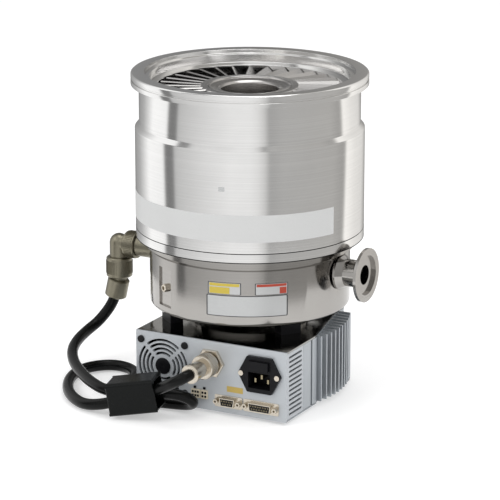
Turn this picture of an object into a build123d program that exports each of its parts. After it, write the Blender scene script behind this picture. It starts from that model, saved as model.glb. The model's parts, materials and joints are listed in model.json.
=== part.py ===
"""Turbomolecular pump on its own control unit, with the motor lead.

Millimetres. The origin is the centre of the inlet flange's top face, +Z points out of the
inlet, the pump axis is Z, and the control unit's connector panel faces -Y.
"""
import os
from math import cos, pi, radians, sin, tan

from build123d import *

os.makedirs("parts", exist_ok=True)

# Clearances shared by the fits below
FIT = 0.3          # between pieces that only lie close to each other
RUNNING = 0.05     # radial, between a turning piece and what guides it

# Inlet envelope: a DN 200 ISO-K flange on a turned casing
FLANGE_R = 120.0
FLANGE_T = 12.0
FLANGE_CHAMFER = 1.3
GROOVE_W = 2.0
GROOVE_DEPTH = 1.8
GROOVE_DROP = 5.5
RECESS_R = 106.5
RECESS_DEPTH = 4.0
THROAT_STEP = 7.5
LEDGE_LIP = 1.0
LEDGE_DROP = 14.0
LEDGE_T = 8.0
NECK_STEP = 4.2
NECK_LEN = 39.8
SHOULDER_H = 4.7
BODY_R = 116.2
BODY_LEN = 102.8
CASING_WALL = 8.2    # leaves the bore that the stator stack slides into

# Joint between the casing and the base
CLAMP_T = 9.5
CLAMP_LIP = 5.0
GAP_H = 2.5
TRIM_PROUD = 4.5
TRIM_T = 6.0
BASE_NECK_STEP = 2.5
LOWER_GAP_H = 4.0

# Base housing
HOUSING_R = 102.5
HOUSING_H = 58.2
HOUSING_WALL = 12.5
HOUSING_FLOOR_T = 28.5
HOUSING_EDGE = 4.5
PAD_ANGLE = -119.0
PAD_W = 22.0
PAD_H = 40.0
PAD_DEPTH = 2.4
PLUG_R = 4.2
PLUG_LEN = 9.0
PLUG_SEAT = 5.0
PLUG_Z = -211.3

# Rotor and stator stages
BLADES = 32
HUB_R = 50.0
HUB_BORE_R = 41.7
HUB_WEB_T = 18.0
BLADE_LEDGE_GAP = 2.0
BLADE_T = 1.6
BLADE_ANGLE = 42.0
STAGE_TOP = 14.5
STAGE_HEIGHTS = (20.5, 12.0, 12.0)
STAGE_GAP = 2.0
STATOR_T = 8.0
VANE_ROOT_R = 53.0
VANE_T = 1.4
RING_WALL = 13.5
DRAG_CLEAR = 8.4
DRAG_WALL = 3.6
DRAG_LEN = 62.0
DRAG_GAP = 0.4
DISC_T = 4.0

# Shaft, bearings and motor
SHAFT_R = 10.0
STUD_R = 12.0
NUT_R = 16.0
NUT_H = 9.0
COLLAR_R = 22.0
COLLAR_H = 5.0
BEARING_R = 20.0
BEARING_W = 10.0
BALL_R = 2.4
BALLS = 9
RACE_T = 3.0
MOTOR_TUBE_R = 40.0
MOTOR_BORE_R = 34.0
MAGNET_R = 18.0
MAGNET_LEN = 40.0
MOTOR_GAP = 1.0
MOTOR_FOOT_R = 60.0
MOTOR_FOOT_T = 6.0

# Fore-vacuum port on +X: DN 40 ISO-KF
PORT_LEN = 30.5
PORT_Z = -196.3
PORT_R = 27.5
PORT_RIM = 3.0
PORT_TUBE_R = 13.8
PORT_BORE_R = 10.0
PORT_RECESS_R = 20.3
PORT_RECESS = 3.0
PORT_BOSS_R = 18.0

# Control unit
UNIT_X0 = -69.6
UNIT_X1 = 100.0
UNIT_Y0 = -113.4
UNIT_Y1 = 56.0
UNIT_H = 72.2
UNDER_GAP = 11.6   # between the base housing and the unit's cover
PANEL_T = 3.0
SHEET = 2.0
WALL = 0.8
FOOT_R = 8.0
FOOT_H = 3.0
SPACER_W = 22.0
SPACER_D = 14.0
SPACER_RING_R = 86.0
SPACER_ANGLES = (-128.0, -36.0, 52.0, 128.0)

# Side of the unit: vent slots and heat sink
VENT_END_Y = -76.0
VENTS = 13
VENT_PITCH = 4.9
VENT_H = 2.2
VENT_LEN = 28.0
SINK_BACK_X = 70.0
SINK_END_Y = 54.8
FIN_ROOT = 9.0
FINS = 11
FIN_T = 2.0
FIN_PITCH = 8.6
FIN_FIRST_Y = -42.0

# Fan behind the panel
FAN_X = -38.7
FAN_UP = 38.3
FAN_SIZE = 60.0
FAN_DEPTH = 15.0
FAN_BORE_R = 28.4
FAN_SCREW_PITCH = 50.0
FAN_SCREW_R = 2.0
FAN_HEAD_R = 3.75
FAN_HEAD_H = 2.2
FAN_HUB_R = 13.0
FAN_TIP_R = 27.6
FAN_BLADES = 7
FAN_PIN_R = 1.5
GRILLE_RADII = (27.0, 22.5, 18.0, 13.5)
GRILLE_SLOT = 2.6
GRILLE_WEB = 3.2

# Round motor connector on the panel
PLUG_X = 16.0
PLUG_UP = 50.0
RECEPTACLE_R = 9.8
PANEL_NUT_AF = 27.0
PANEL_NUT_T = 4.0
PLUG_BODY_R = 8.6
RING_R = 12.0
RING_LEN = 15.0
RING_START = 5.2
PLUG_LEN_OUT = 36.5
GLAND_R = 9.6
GLAND_LEN = 8.0

# Mains inlet with fuse drawer
INLET_X = 71.7
INLET_UP = 46.0
INLET_HALF_W = 23.6
INLET_HALF_H = 18.6
INLET_FLAT = 13.5
INLET_T = 3.5
INLET_BODY_W = 28.0
INLET_BODY_H = 31.0
INLET_BODY_D = 24.0
SOCKET_W = 24.2
SOCKET_H = 16.4
SOCKET_D = 18.0
SOCKET_DROP = 6.0
PIN_W = 2.0
PIN_H = 4.2
PIN_LEN = 12.0
PIN_PITCH = 7.0
INLET_SCREW_PITCH = 40.0
DRAWER_W = 20.0
DRAWER_H = 7.6
DRAWER_D = 20.0
DRAWER_RISE = 9.6
DRAWER_FACE_T = 2.6
FUSE_R = 2.5
FUSE_LEN = 16.0

# D-sub sockets and power headers
DSUB_UP = 12.0
DSUB_9_X = 36.1
DSUB_9_PITCH = 25.0
DSUB_9_W = 16.9
DSUB_15_X = 72.6
DSUB_15_PITCH = 33.3
DSUB_15_W = 25.2
DSUB_H = 8.3
DSUB_REACH = 5.0
DSUB_PLATE_H = 12.5
DSUB_PLATE_T = 0.8
DSUB_SHELL = 0.8
DSUB_SLANT = 10.0
JACK_R = 2.8
JACK_REACH = 5.0
HEADER_UP = 15.6
HEADER_H = 8.7
HEADER_6_X = -1.0
HEADER_6_W = 9.7
HEADER_4_X = 8.7
HEADER_4_W = 7.4
HEADER_REACH = 1.6
HEADER_D = 10.0
LATCH = 2.2

# Circuit board
BOARD_T = 1.6
STANDOFF_H = 6.0
STANDOFF_R = 3.0

# Elbow connector on -X and the motor lead
ELBOW_Z = -199.3
ELBOW_BASE_R = 11.5
ELBOW_SEAT_DEPTH = 6.5
ELBOW_STAND_OFF = 28.5
ELBOW_RING_R = 14.0
ELBOW_RING_LEN = 14.0
ELBOW_OUT = 52.5
ELBOW_R = 10.0
ELBOW_DROP = 15.0
SHELL_R = 13.6
SHELL_LEN = 21.5
CLAMP_R = 11.5
CLAMP_LEN = 20.0
CLAMP_TILT = 13.0
CABLE_R = 5.7
BEAD_L = 50.0
BEAD_W = 34.0
BEAD_H = 34.0
BEAD_WINDOW = 27.6
BEAD_X = -70.0
BEAD_Y = -163.0
BEAD_UP = 19.0
BEAD_TURN = 14.0
BEAD_TILT = 10.0

# Radii and reaches worked out from the sizes above
NECK_R = BODY_R - NECK_STEP
STACK_R = BODY_R - CASING_WALL
RING_BORE_R = STACK_R - RING_WALL
LEDGE_R = RING_BORE_R - LEDGE_LIP
THROAT_R = LEDGE_R + THROAT_STEP
BLADE_TIP_R = LEDGE_R - BLADE_LEDGE_GAP
BASE_NECK_R = HOUSING_R - BASE_NECK_STEP
CLAMP_BORE_R = BASE_NECK_R - CLAMP_LIP
TRIM_R = HOUSING_R + TRIM_PROUD
HOUSING_BORE_R = HOUSING_R - HOUSING_WALL
DRAG_R = HOUSING_BORE_R - DRAG_CLEAR
PORT_REACH = HOUSING_R + PORT_LEN
ELBOW_SEAT = HOUSING_R - ELBOW_SEAT_DEPTH
ELBOW_START = HOUSING_R + ELBOW_STAND_OFF
ELBOW_AXIS_X = -(HOUSING_R + ELBOW_OUT)

# Heights worked out from the sizes above (the inlet face is zero)
Z_NECK = -FLANGE_T
Z_SHOULDER = Z_NECK - NECK_LEN
Z_BODY = Z_SHOULDER - SHOULDER_H
Z_SEAM = Z_BODY - BODY_LEN
Z_CLAMP = Z_SEAM - CLAMP_T
Z_TRIM = Z_CLAMP - GAP_H
Z_LOWER_GAP = Z_TRIM - TRIM_T
Z_HOUSING = Z_LOWER_GAP - LOWER_GAP_H
Z_HOUSING_END = Z_HOUSING - HOUSING_H
Z_COVER = Z_HOUSING_END - UNDER_GAP
Z_BASE = Z_COVER - UNIT_H
Z_FLOOR = Z_BASE - FOOT_H
Z_INNER = Z_HOUSING_END + HOUSING_FLOOR_T
Z_UNIT_IN = Z_BASE + SHEET

# Stage levels: each stator disc lies between two rotor stages
ROTOR_TOPS = []
STATOR_TOPS = []
level = -STAGE_TOP
for height in STAGE_HEIGHTS:
    ROTOR_TOPS.append(level)
    STATOR_TOPS.append(level - height - STAGE_GAP)
    level = level - height - 2 * STAGE_GAP - STATOR_T
Z_DISC = ROTOR_TOPS[-1] - STAGE_HEIGHTS[-1] - 1.0
Z_HUB_END = Z_DISC - DISC_T
Z_DRAG_STACK = STATOR_TOPS[-1]
Z_WEB_TOP = Z_HUB_END + HUB_WEB_T
Z_COLLAR_END = Z_HUB_END - COLLAR_H
Z_UPPER_BEARING = Z_COLLAR_END - 3.0
Z_LOWER_BEARING = Z_INNER + MOTOR_FOOT_T + 2.0 + BEARING_W
Z_SHAFT_END = Z_LOWER_BEARING - BEARING_W - 1.0
Z_MAGNET = (Z_UPPER_BEARING + Z_LOWER_BEARING - BEARING_W) / 2 + MAGNET_LEN / 2


def polar(radius, degrees, z):
    """Point at a radius and a turn about the pump axis."""
    return (radius * cos(radians(degrees)), radius * sin(radians(degrees)), z)


def panel_plane(depth):
    """Sketch plane parallel to the connector panel, drawn from its bottom edge, x as seen in front."""
    return Plane(origin=(0, depth, Z_BASE), x_dir=(1, 0, 0), z_dir=(0, -1, 0))


pad_plane = Plane(origin=polar(HOUSING_R - PAD_DEPTH - PLUG_SEAT, PAD_ANGLE, PLUG_Z),
                  z_dir=polar(1, PAD_ANGLE, 0))

# ---------------------------------------------------------------- pump casing
with BuildPart() as inlet_envelope:
    with BuildSketch(Plane.XZ):
        with BuildLine():
            Polyline(
                (RECESS_R, 0), (FLANGE_R - FLANGE_CHAMFER, 0), (FLANGE_R, -FLANGE_CHAMFER),
                (FLANGE_R, -GROOVE_DROP), (FLANGE_R - GROOVE_DEPTH, -GROOVE_DROP),
                (FLANGE_R - GROOVE_DEPTH, -GROOVE_DROP - GROOVE_W), (FLANGE_R, -GROOVE_DROP - GROOVE_W),
                (FLANGE_R, Z_NECK), (NECK_R, Z_NECK), (NECK_R, Z_SHOULDER), (BODY_R, Z_BODY),
                (BODY_R, Z_SEAM), (STACK_R, Z_SEAM), (STACK_R, -LEDGE_DROP - LEDGE_T),
                (LEDGE_R, -LEDGE_DROP - LEDGE_T), (LEDGE_R, -LEDGE_DROP),
                (THROAT_R, -LEDGE_DROP + 1.5), (THROAT_R, -RECESS_DEPTH), (RECESS_R, -RECESS_DEPTH),
                close=True,
            )
        make_face()
    revolve(axis=Axis.Z)
inlet_envelope.part.label = "inlet_envelope"
export_step(inlet_envelope.part, "parts/inlet_envelope.step")

with BuildPart() as clamp_ring:
    with BuildSketch(Plane.XY.offset(Z_CLAMP)):
        Circle(BODY_R)
        Circle(CLAMP_BORE_R, mode=Mode.SUBTRACT)
    extrude(amount=CLAMP_T)
    chamfer(clamp_ring.edges().filter_by(GeomType.CIRCLE).group_by(SortBy.RADIUS)[-1], length=0.6)
clamp_ring.part.label = "clamp_ring"
export_step(clamp_ring.part, "parts/clamp_ring.step")

with BuildPart() as base_housing:
    with BuildSketch(Plane.XZ):
        with BuildLine():
            Polyline(
                (0, Z_HOUSING_END), (HOUSING_R, Z_HOUSING_END), (HOUSING_R, Z_HOUSING),
                (BASE_NECK_R, Z_HOUSING), (BASE_NECK_R, Z_LOWER_GAP), (TRIM_R, Z_LOWER_GAP),
                (TRIM_R, Z_TRIM), (BASE_NECK_R, Z_TRIM), (BASE_NECK_R, Z_CLAMP),
                (HOUSING_BORE_R, Z_CLAMP), (HOUSING_BORE_R, Z_INNER), (0, Z_INNER), close=True,
            )
        make_face()
    revolve(axis=Axis.Z)
    fillet(base_housing.edges().filter_by(GeomType.CIRCLE).group_by(Axis.Z)[0], HOUSING_EDGE)
    with Locations(Location(polar(HOUSING_R, PAD_ANGLE, Z_HOUSING_END + 9.0 + PAD_H / 2), (0, 0, PAD_ANGLE))):
        Box(2 * PAD_DEPTH, PAD_W, PAD_H, mode=Mode.SUBTRACT)
    with BuildSketch(pad_plane):
        Circle(PLUG_R)
    extrude(amount=PLUG_LEN, mode=Mode.SUBTRACT)
    with Locations(Location((HOUSING_R, 0, PORT_Z), (0, 90, 0))):
        Cylinder(PORT_BORE_R, 2 * (HOUSING_R - HOUSING_BORE_R) + 8, mode=Mode.SUBTRACT)
    with Locations(Location((-HOUSING_R, 0, ELBOW_Z), (0, 90, 0))):
        Cylinder(ELBOW_BASE_R, 2 * (HOUSING_R - ELBOW_SEAT), mode=Mode.SUBTRACT)
base_housing.part.label = "base_housing"
export_step(base_housing.part, "parts/base_housing.step")

with BuildPart() as foreline_port:
    with BuildSketch(Plane.XY.offset(PORT_Z)):
        with BuildLine():
            Polyline(
                (HOUSING_R - 1.0 + FIT, PORT_BORE_R), (HOUSING_R + 2.5, PORT_BORE_R),
                (PORT_REACH - PORT_RECESS, PORT_BORE_R), (PORT_REACH - PORT_RECESS, PORT_RECESS_R),
                (PORT_REACH, PORT_RECESS_R), (PORT_REACH, PORT_R), (PORT_REACH - PORT_RIM, PORT_R),
                (PORT_REACH - PORT_RIM - 2.4, PORT_RECESS_R), (PORT_REACH - 9.0, PORT_TUBE_R),
                (HOUSING_R + 9.0, PORT_TUBE_R), (HOUSING_R + 2.5, PORT_BOSS_R),
                (HOUSING_R + FIT, PORT_BOSS_R), (HOUSING_R + FIT, PORT_BORE_R + 2.0),
                (HOUSING_R - 1.0 + FIT, PORT_BORE_R + 2.0), close=True,
            )
        make_face()
    revolve(axis=Axis((0, 0, PORT_Z), (1, 0, 0)))
    with Locations((0, 0, (Z_CLAMP + Z_HOUSING_END) / 2)):
        Cylinder(HOUSING_R, Z_CLAMP - Z_HOUSING_END, mode=Mode.SUBTRACT)
foreline_port.part.label = "foreline_port"
export_step(foreline_port.part, "parts/foreline_port.step")

with BuildPart() as purge_plug:
    with BuildSketch(pad_plane):
        Circle(PLUG_R)
    extrude(amount=PLUG_LEN)
    chamfer(purge_plug.faces().sort_by(Axis(origin=(0, 0, 0), direction=polar(1, PAD_ANGLE, 0)))[-1].edges(),
            length=0.7)
    with BuildSketch(pad_plane.offset(PLUG_LEN)):
        RegularPolygon(PLUG_R * 0.55, 6)
    extrude(amount=-2.5, mode=Mode.SUBTRACT)
purge_plug.part.label = "purge_plug"
export_step(purge_plug.part, "parts/purge_plug.step")

with BuildPart() as bottom_cap:
    with BuildSketch(Plane.XY.offset(Z_HOUSING_END - 4.0)):
        Circle(MOTOR_FOOT_R)
    extrude(amount=4.0)
    with PolarLocations(MOTOR_FOOT_R - 8, 6):
        with Locations((0, 0, Z_HOUSING_END - 4.0)):
            Cylinder(4.0, 4.0, mode=Mode.SUBTRACT)
bottom_cap.part.label = "bottom_cap"
export_step(bottom_cap.part, "parts/bottom_cap.step")

# ---------------------------------------------------------------- stator stack
for index in range(2):
    with BuildPart() as stator_disc:
        with BuildSketch(Plane.XY.offset(STATOR_TOPS[index] - STATOR_T)):
            Circle(STACK_R - FIT / 2)
            Circle(RING_BORE_R - 1.0, mode=Mode.SUBTRACT)
        extrude(amount=STATOR_T)
        with BuildSketch(Plane.XY.offset(STATOR_TOPS[index] - STATOR_T)):
            Circle(VANE_ROOT_R + 2.0)
            Circle(VANE_ROOT_R, mode=Mode.SUBTRACT)
        extrude(amount=STATOR_T)
        vane_len = RING_BORE_R - VANE_ROOT_R
        with PolarLocations((RING_BORE_R + VANE_ROOT_R) / 2, BLADES):
            with Locations(Location((0, 0, STATOR_TOPS[index] - STATOR_T / 2), (-BLADE_ANGLE, 0, 0))):
                Box(vane_len, VANE_T, STATOR_T / cos(radians(BLADE_ANGLE)) - 2 * VANE_T)
    stator_disc.part.label = f"stator_disc_{index + 1}"
    export_step(stator_disc.part, f"parts/stator_disc_{index + 1}.step")

ring_spans = [
    (-LEDGE_DROP - LEDGE_T, STATOR_TOPS[0]),
    (STATOR_TOPS[0] - STATOR_T, STATOR_TOPS[1]),
    (STATOR_TOPS[1] - STATOR_T, Z_DRAG_STACK),
]
for index, (ring_top, ring_end) in enumerate(ring_spans):
    with BuildPart() as spacer_ring:
        with BuildSketch(Plane.XY.offset(ring_end)):
            Circle(STACK_R - FIT / 2)
            Circle(RING_BORE_R, mode=Mode.SUBTRACT)
        extrude(amount=ring_top - ring_end)
    spacer_ring.part.label = f"spacer_ring_{index + 1}"
    export_step(spacer_ring.part, f"parts/spacer_ring_{index + 1}.step")

with BuildPart() as drag_stator:
    with BuildSketch(Plane.XY.offset(Z_SEAM)):
        Circle(STACK_R - FIT / 2)
        Circle(DRAG_R + DRAG_GAP, mode=Mode.SUBTRACT)
    extrude(amount=Z_DRAG_STACK - Z_SEAM)
drag_stator.part.label = "drag_stator"
export_step(drag_stator.part, "parts/drag_stator.step")

# ---------------------------------------------------------------- rotor
with BuildPart() as turbo_rotor:
    with BuildSketch(Plane.XZ):
        with BuildLine():
            Polyline(
                (STUD_R, Z_HUB_END), (DRAG_R - DRAG_WALL, Z_HUB_END), (DRAG_R - DRAG_WALL, Z_DISC - DRAG_LEN),
                (DRAG_R, Z_DISC - DRAG_LEN), (DRAG_R, Z_DISC), (HUB_R, Z_DISC), (HUB_R, -STAGE_TOP - 1.0),
                (HUB_R - 1.0, -STAGE_TOP), (HUB_BORE_R + 1.0, -STAGE_TOP), (HUB_BORE_R, -STAGE_TOP - 1.0),
                (HUB_BORE_R, Z_WEB_TOP), (STUD_R, Z_WEB_TOP), close=True,
            )
        make_face()
    revolve(axis=Axis.Z)
    for top, height in zip(ROTOR_TOPS, STAGE_HEIGHTS):
        root = HUB_R - 1.5
        with PolarLocations((BLADE_TIP_R + root) / 2, BLADES):
            with Locations(Location((0, 0, top - height / 2), (BLADE_ANGLE, 0, 0))):
                Box(BLADE_TIP_R - root, BLADE_T,
                    (height - BLADE_T * sin(radians(BLADE_ANGLE))) / cos(radians(BLADE_ANGLE)))
turbo_rotor.part.label = "turbo_rotor"
export_step(turbo_rotor.part, "parts/turbo_rotor.step")

with BuildPart() as rotor_shaft:
    with BuildSketch(Plane.XZ):
        with BuildLine():
            Polyline(
                (0, Z_SHAFT_END), (SHAFT_R, Z_SHAFT_END), (SHAFT_R, Z_COLLAR_END), (COLLAR_R, Z_COLLAR_END),
                (COLLAR_R, Z_HUB_END), (STUD_R, Z_HUB_END), (STUD_R, Z_WEB_TOP),
                (SHAFT_R, Z_WEB_TOP), (SHAFT_R, Z_WEB_TOP + NUT_H + 2), (0, Z_WEB_TOP + NUT_H + 2), close=True,
            )
        make_face()
    revolve(axis=Axis.Z)
rotor_shaft.part.label = "rotor_shaft"
export_step(rotor_shaft.part, "parts/rotor_shaft.step")

with BuildPart() as rotor_nut:
    with BuildSketch(Plane.XY.offset(Z_WEB_TOP)):
        RegularPolygon(NUT_R, 6)
        Circle(SHAFT_R, mode=Mode.SUBTRACT)
    extrude(amount=NUT_H)
rotor_nut.part.label = "rotor_nut"
export_step(rotor_nut.part, "parts/rotor_nut.step")

with BuildPart() as motor_magnet:
    with BuildSketch(Plane.XY.offset(Z_MAGNET - MAGNET_LEN)):
        Circle(MAGNET_R)
        Circle(SHAFT_R, mode=Mode.SUBTRACT)
    extrude(amount=MAGNET_LEN)
motor_magnet.part.label = "motor_magnet"
export_step(motor_magnet.part, "parts/motor_magnet.step")

for place, bearing_top in (("upper", Z_UPPER_BEARING), ("lower", Z_LOWER_BEARING)):
    ball_ring_r = (SHAFT_R + BEARING_R) / 2
    with BuildPart() as outer_race:
        with BuildSketch(Plane.XY.offset(bearing_top - BEARING_W)):
            Circle(BEARING_R)
            Circle(BEARING_R - RACE_T, mode=Mode.SUBTRACT)
        extrude(amount=BEARING_W)
        with Locations((0, 0, bearing_top - BEARING_W / 2)):
            Torus(ball_ring_r, BALL_R, mode=Mode.SUBTRACT)
    outer_race.part.label = f"{place}_outer_race"
    export_step(outer_race.part, f"parts/{place}_outer_race.step")
    with BuildPart() as inner_race:
        with BuildSketch(Plane.XY.offset(bearing_top - BEARING_W)):
            Circle(SHAFT_R + RACE_T)
            Circle(SHAFT_R, mode=Mode.SUBTRACT)
        extrude(amount=BEARING_W)
        with Locations((0, 0, bearing_top - BEARING_W / 2)):
            Torus(ball_ring_r, BALL_R + RUNNING, mode=Mode.SUBTRACT)
    inner_race.part.label = f"{place}_inner_race"
    export_step(inner_race.part, f"parts/{place}_inner_race.step")
    with BuildPart() as bearing_balls:
        with PolarLocations(ball_ring_r, BALLS):
            with Locations((0, 0, bearing_top - BEARING_W / 2)):
                Sphere(BALL_R)
    bearing_balls.part.label = f"{place}_balls"
    export_step(bearing_balls.part, f"parts/{place}_balls.step")

with BuildPart() as motor_stator:
    with BuildSketch(Plane.XY.offset(Z_MAGNET - MAGNET_LEN)):
        Circle(MOTOR_BORE_R)
        Circle(MAGNET_R + MOTOR_GAP, mode=Mode.SUBTRACT)
        with PolarLocations(MAGNET_R + MOTOR_GAP + 5.5, 6):
            SlotOverall(7.0, 4.0, mode=Mode.SUBTRACT)
    extrude(amount=MAGNET_LEN)
motor_stator.part.label = "motor_stator"
export_step(motor_stator.part, "parts/motor_stator.step")

with BuildPart() as motor_housing:
    with BuildSketch(Plane.XZ):
        with BuildLine():
            Polyline(
                (BEARING_R, Z_UPPER_BEARING + 1.0), (MOTOR_TUBE_R, Z_UPPER_BEARING + 1.0),
                (MOTOR_TUBE_R, Z_INNER + MOTOR_FOOT_T), (MOTOR_FOOT_R, Z_INNER + MOTOR_FOOT_T),
                (MOTOR_FOOT_R, Z_INNER), (SHAFT_R + 2.0, Z_INNER), (SHAFT_R + 2.0, Z_LOWER_BEARING - BEARING_W),
                (BEARING_R, Z_LOWER_BEARING - BEARING_W), (BEARING_R, Z_LOWER_BEARING),
                (MOTOR_BORE_R, Z_LOWER_BEARING), (MOTOR_BORE_R, Z_UPPER_BEARING - BEARING_W),
                (BEARING_R, Z_UPPER_BEARING - BEARING_W), close=True,
            )
        make_face()
    revolve(axis=Axis.Z)
motor_housing.part.label = "motor_housing"
export_step(motor_housing.part, "parts/motor_housing.step")

# ---------------------------------------------------------------- control unit shell
with BuildPart() as support_spacers:
    for angle in SPACER_ANGLES:
        with Locations(Location(polar(SPACER_RING_R, angle, (Z_COVER + Z_HOUSING_END) / 2), (0, 0, angle))):
            Box(SPACER_D, SPACER_W, UNDER_GAP)
support_spacers.part.label = "support_spacers"
export_step(support_spacers.part, "parts/support_spacers.step")

with BuildPart() as top_cover:
    with BuildSketch(Plane.XY.offset(Z_COVER - SHEET)):
        with Locations(((UNIT_X0 + UNIT_X1) / 2, (UNIT_Y0 + PANEL_T + UNIT_Y1) / 2)):
            Rectangle(UNIT_X1 - UNIT_X0, UNIT_Y1 - UNIT_Y0 - PANEL_T)
    extrude(amount=SHEET)
top_cover.part.label = "top_cover"
export_step(top_cover.part, "parts/top_cover.step")

with BuildPart() as chassis_tray:
    with BuildSketch(Plane.XY.offset(Z_BASE)):
        with Locations(((UNIT_X0 + UNIT_X1) / 2, (UNIT_Y0 + PANEL_T + UNIT_Y1) / 2)):
            Rectangle(UNIT_X1 - UNIT_X0, UNIT_Y1 - UNIT_Y0 - PANEL_T)
    extrude(amount=SHEET)
    with BuildSketch(Plane.XY.offset(Z_UNIT_IN)):
        with BuildLine():
            Polyline(
                (UNIT_X0, UNIT_Y0 + PANEL_T), (UNIT_X0 + WALL, UNIT_Y0 + PANEL_T), (UNIT_X0 + WALL, UNIT_Y1 - WALL),
                (SINK_BACK_X + 8.0, UNIT_Y1 - WALL), (SINK_BACK_X + 8.0, UNIT_Y1), (UNIT_X0, UNIT_Y1), close=True,
            )
        make_face()
    extrude(amount=UNIT_H - 2 * SHEET)
chassis_tray.part.label = "chassis_tray"
export_step(chassis_tray.part, "parts/chassis_tray.step")

with BuildPart() as side_panel:
    with BuildSketch(Plane(origin=(UNIT_X1, (UNIT_Y0 + PANEL_T + VENT_END_Y) / 2, Z_BASE + UNIT_H / 2),
                           x_dir=(0, 1, 0), z_dir=(1, 0, 0))):
        Rectangle(VENT_END_Y - UNIT_Y0 - PANEL_T, UNIT_H - 2 * SHEET)
        with GridLocations(0, VENT_PITCH, 1, VENTS):
            SlotOverall(VENT_LEN, VENT_H, mode=Mode.SUBTRACT)
    extrude(amount=-SHEET)
side_panel.part.label = "side_panel"
export_step(side_panel.part, "parts/side_panel.step")

with BuildPart() as heat_sink:
    with BuildSketch(Plane.XY.offset(Z_UNIT_IN)):
        with BuildLine():
            Polyline(
                (SINK_BACK_X, VENT_END_Y + FIT), (UNIT_X1, VENT_END_Y + FIT), (UNIT_X1, -59.5), (97.0, -59.5),
                (97.0, -56.0), (UNIT_X1, -56.0), (UNIT_X1, -46.5), (97.6, -46.5), (97.6, -43.0),
                (80.7, 36.5), (80.7, SINK_END_Y), (SINK_BACK_X, SINK_END_Y), close=True,
            )
        make_face()
        for number in range(FINS):
            fin_y = FIN_FIRST_Y + number * FIN_PITCH
            foot_x = 97.6 - (fin_y + 43.0) * (97.6 - 80.7) / 79.5 - 1.0
            tip_x = 106.5 - (fin_y + 14.0) ** 2 / 260.0
            with Locations(((max(foot_x, SINK_BACK_X + FIN_ROOT) + tip_x) / 2, fin_y)):
                Rectangle(tip_x - max(foot_x, SINK_BACK_X + FIN_ROOT), FIN_T)
    extrude(amount=UNIT_H - 2 * SHEET)
heat_sink.part.label = "heat_sink"
export_step(heat_sink.part, "parts/heat_sink.step")

with BuildPart() as unit_feet:
    for foot_x in (UNIT_X0 + 14, UNIT_X1 - 14):
        for foot_y in (UNIT_Y0 + 18, UNIT_Y1 - 14):
            with Locations((foot_x, foot_y, Z_FLOOR + FOOT_H / 2)):
                Cone(FOOT_R - 1.0, FOOT_R, FOOT_H)
unit_feet.part.label = "unit_feet"
export_step(unit_feet.part, "parts/unit_feet.step")


INLET_OUTLINE = (
    (-INLET_HALF_W, 0), (-INLET_FLAT, -INLET_HALF_H), (INLET_FLAT, -INLET_HALF_H), (INLET_HALF_W, 0),
    (INLET_FLAT, INLET_HALF_H), (-INLET_FLAT, INLET_HALF_H),
)

with BuildPart() as front_panel:
    with BuildSketch(panel_plane(UNIT_Y0 + PANEL_T)):
        with Locations(((UNIT_X0 + UNIT_X1) / 2, UNIT_H / 2)):
            Rectangle(UNIT_X1 - UNIT_X0, UNIT_H)
        with Locations((PLUG_X, PLUG_UP)):
            Circle(RECEPTACLE_R + FIT, mode=Mode.SUBTRACT)
        with Locations((INLET_X, INLET_UP)):
            Rectangle(INLET_BODY_W + 2 * FIT, INLET_BODY_H + 2 * FIT, mode=Mode.SUBTRACT)
        with Locations((DSUB_9_X, DSUB_UP)):
            Rectangle(DSUB_9_W + 2 * FIT, DSUB_H + 2 * FIT, mode=Mode.SUBTRACT)
        with Locations((DSUB_15_X, DSUB_UP)):
            Rectangle(DSUB_15_W + 2 * FIT, DSUB_H + 2 * FIT, mode=Mode.SUBTRACT)
        for header_x, header_w in ((HEADER_6_X, HEADER_6_W), (HEADER_4_X, HEADER_4_W)):
            with Locations((header_x, HEADER_UP)):
                Rectangle(header_w + 2 * FIT, HEADER_H + 2 * FIT, mode=Mode.SUBTRACT)
        with Locations((FAN_X, FAN_UP)):
            with GridLocations(FAN_SCREW_PITCH, FAN_SCREW_PITCH, 2, 2):
                Circle(FAN_SCREW_R + FIT, mode=Mode.SUBTRACT)
            for ring_r in GRILLE_RADII:
                half = 45.0 - 180 / pi * (GRILLE_WEB + GRILLE_SLOT) / 2 / ring_r
                for quarter in (0, 90, 180, 270):
                    with BuildLine(mode=Mode.PRIVATE) as slot_line:
                        CenterArc((0, 0), ring_r, quarter - half, 2 * half)
                    SlotArc(slot_line.edges()[0], GRILLE_SLOT, mode=Mode.SUBTRACT)
    extrude(amount=PANEL_T)
front_panel.part.label = "front_panel"
export_step(front_panel.part, "parts/front_panel.step")

# ---------------------------------------------------------------- fan
fan_centre = Plane(origin=(FAN_X, UNIT_Y0 + PANEL_T, Z_BASE + FAN_UP), x_dir=(1, 0, 0), z_dir=(0, 1, 0))
with BuildPart() as fan_frame:
    with BuildSketch(fan_centre):
        RectangleRounded(FAN_SIZE, FAN_SIZE, 3.0)
        Circle(FAN_BORE_R, mode=Mode.SUBTRACT)
        with GridLocations(FAN_SCREW_PITCH, FAN_SCREW_PITCH, 2, 2):
            Circle(FAN_SCREW_R, mode=Mode.SUBTRACT)
    extrude(amount=FAN_DEPTH)
    with BuildSketch(fan_centre.offset(FAN_DEPTH - 2.0)):
        Circle(FAN_HUB_R)
        with PolarLocations((FAN_HUB_R + FAN_BORE_R) / 2, 4, start_angle=45):
            Rectangle(FAN_BORE_R - FAN_HUB_R + 3.0, 3.0)
    extrude(amount=2.0)
    with BuildSketch(fan_centre.offset(4.0)):
        Circle(FAN_PIN_R)
    extrude(amount=FAN_DEPTH - 5.0)
fan_frame.part.label = "fan_frame"
export_step(fan_frame.part, "parts/fan_frame.step")

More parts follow.
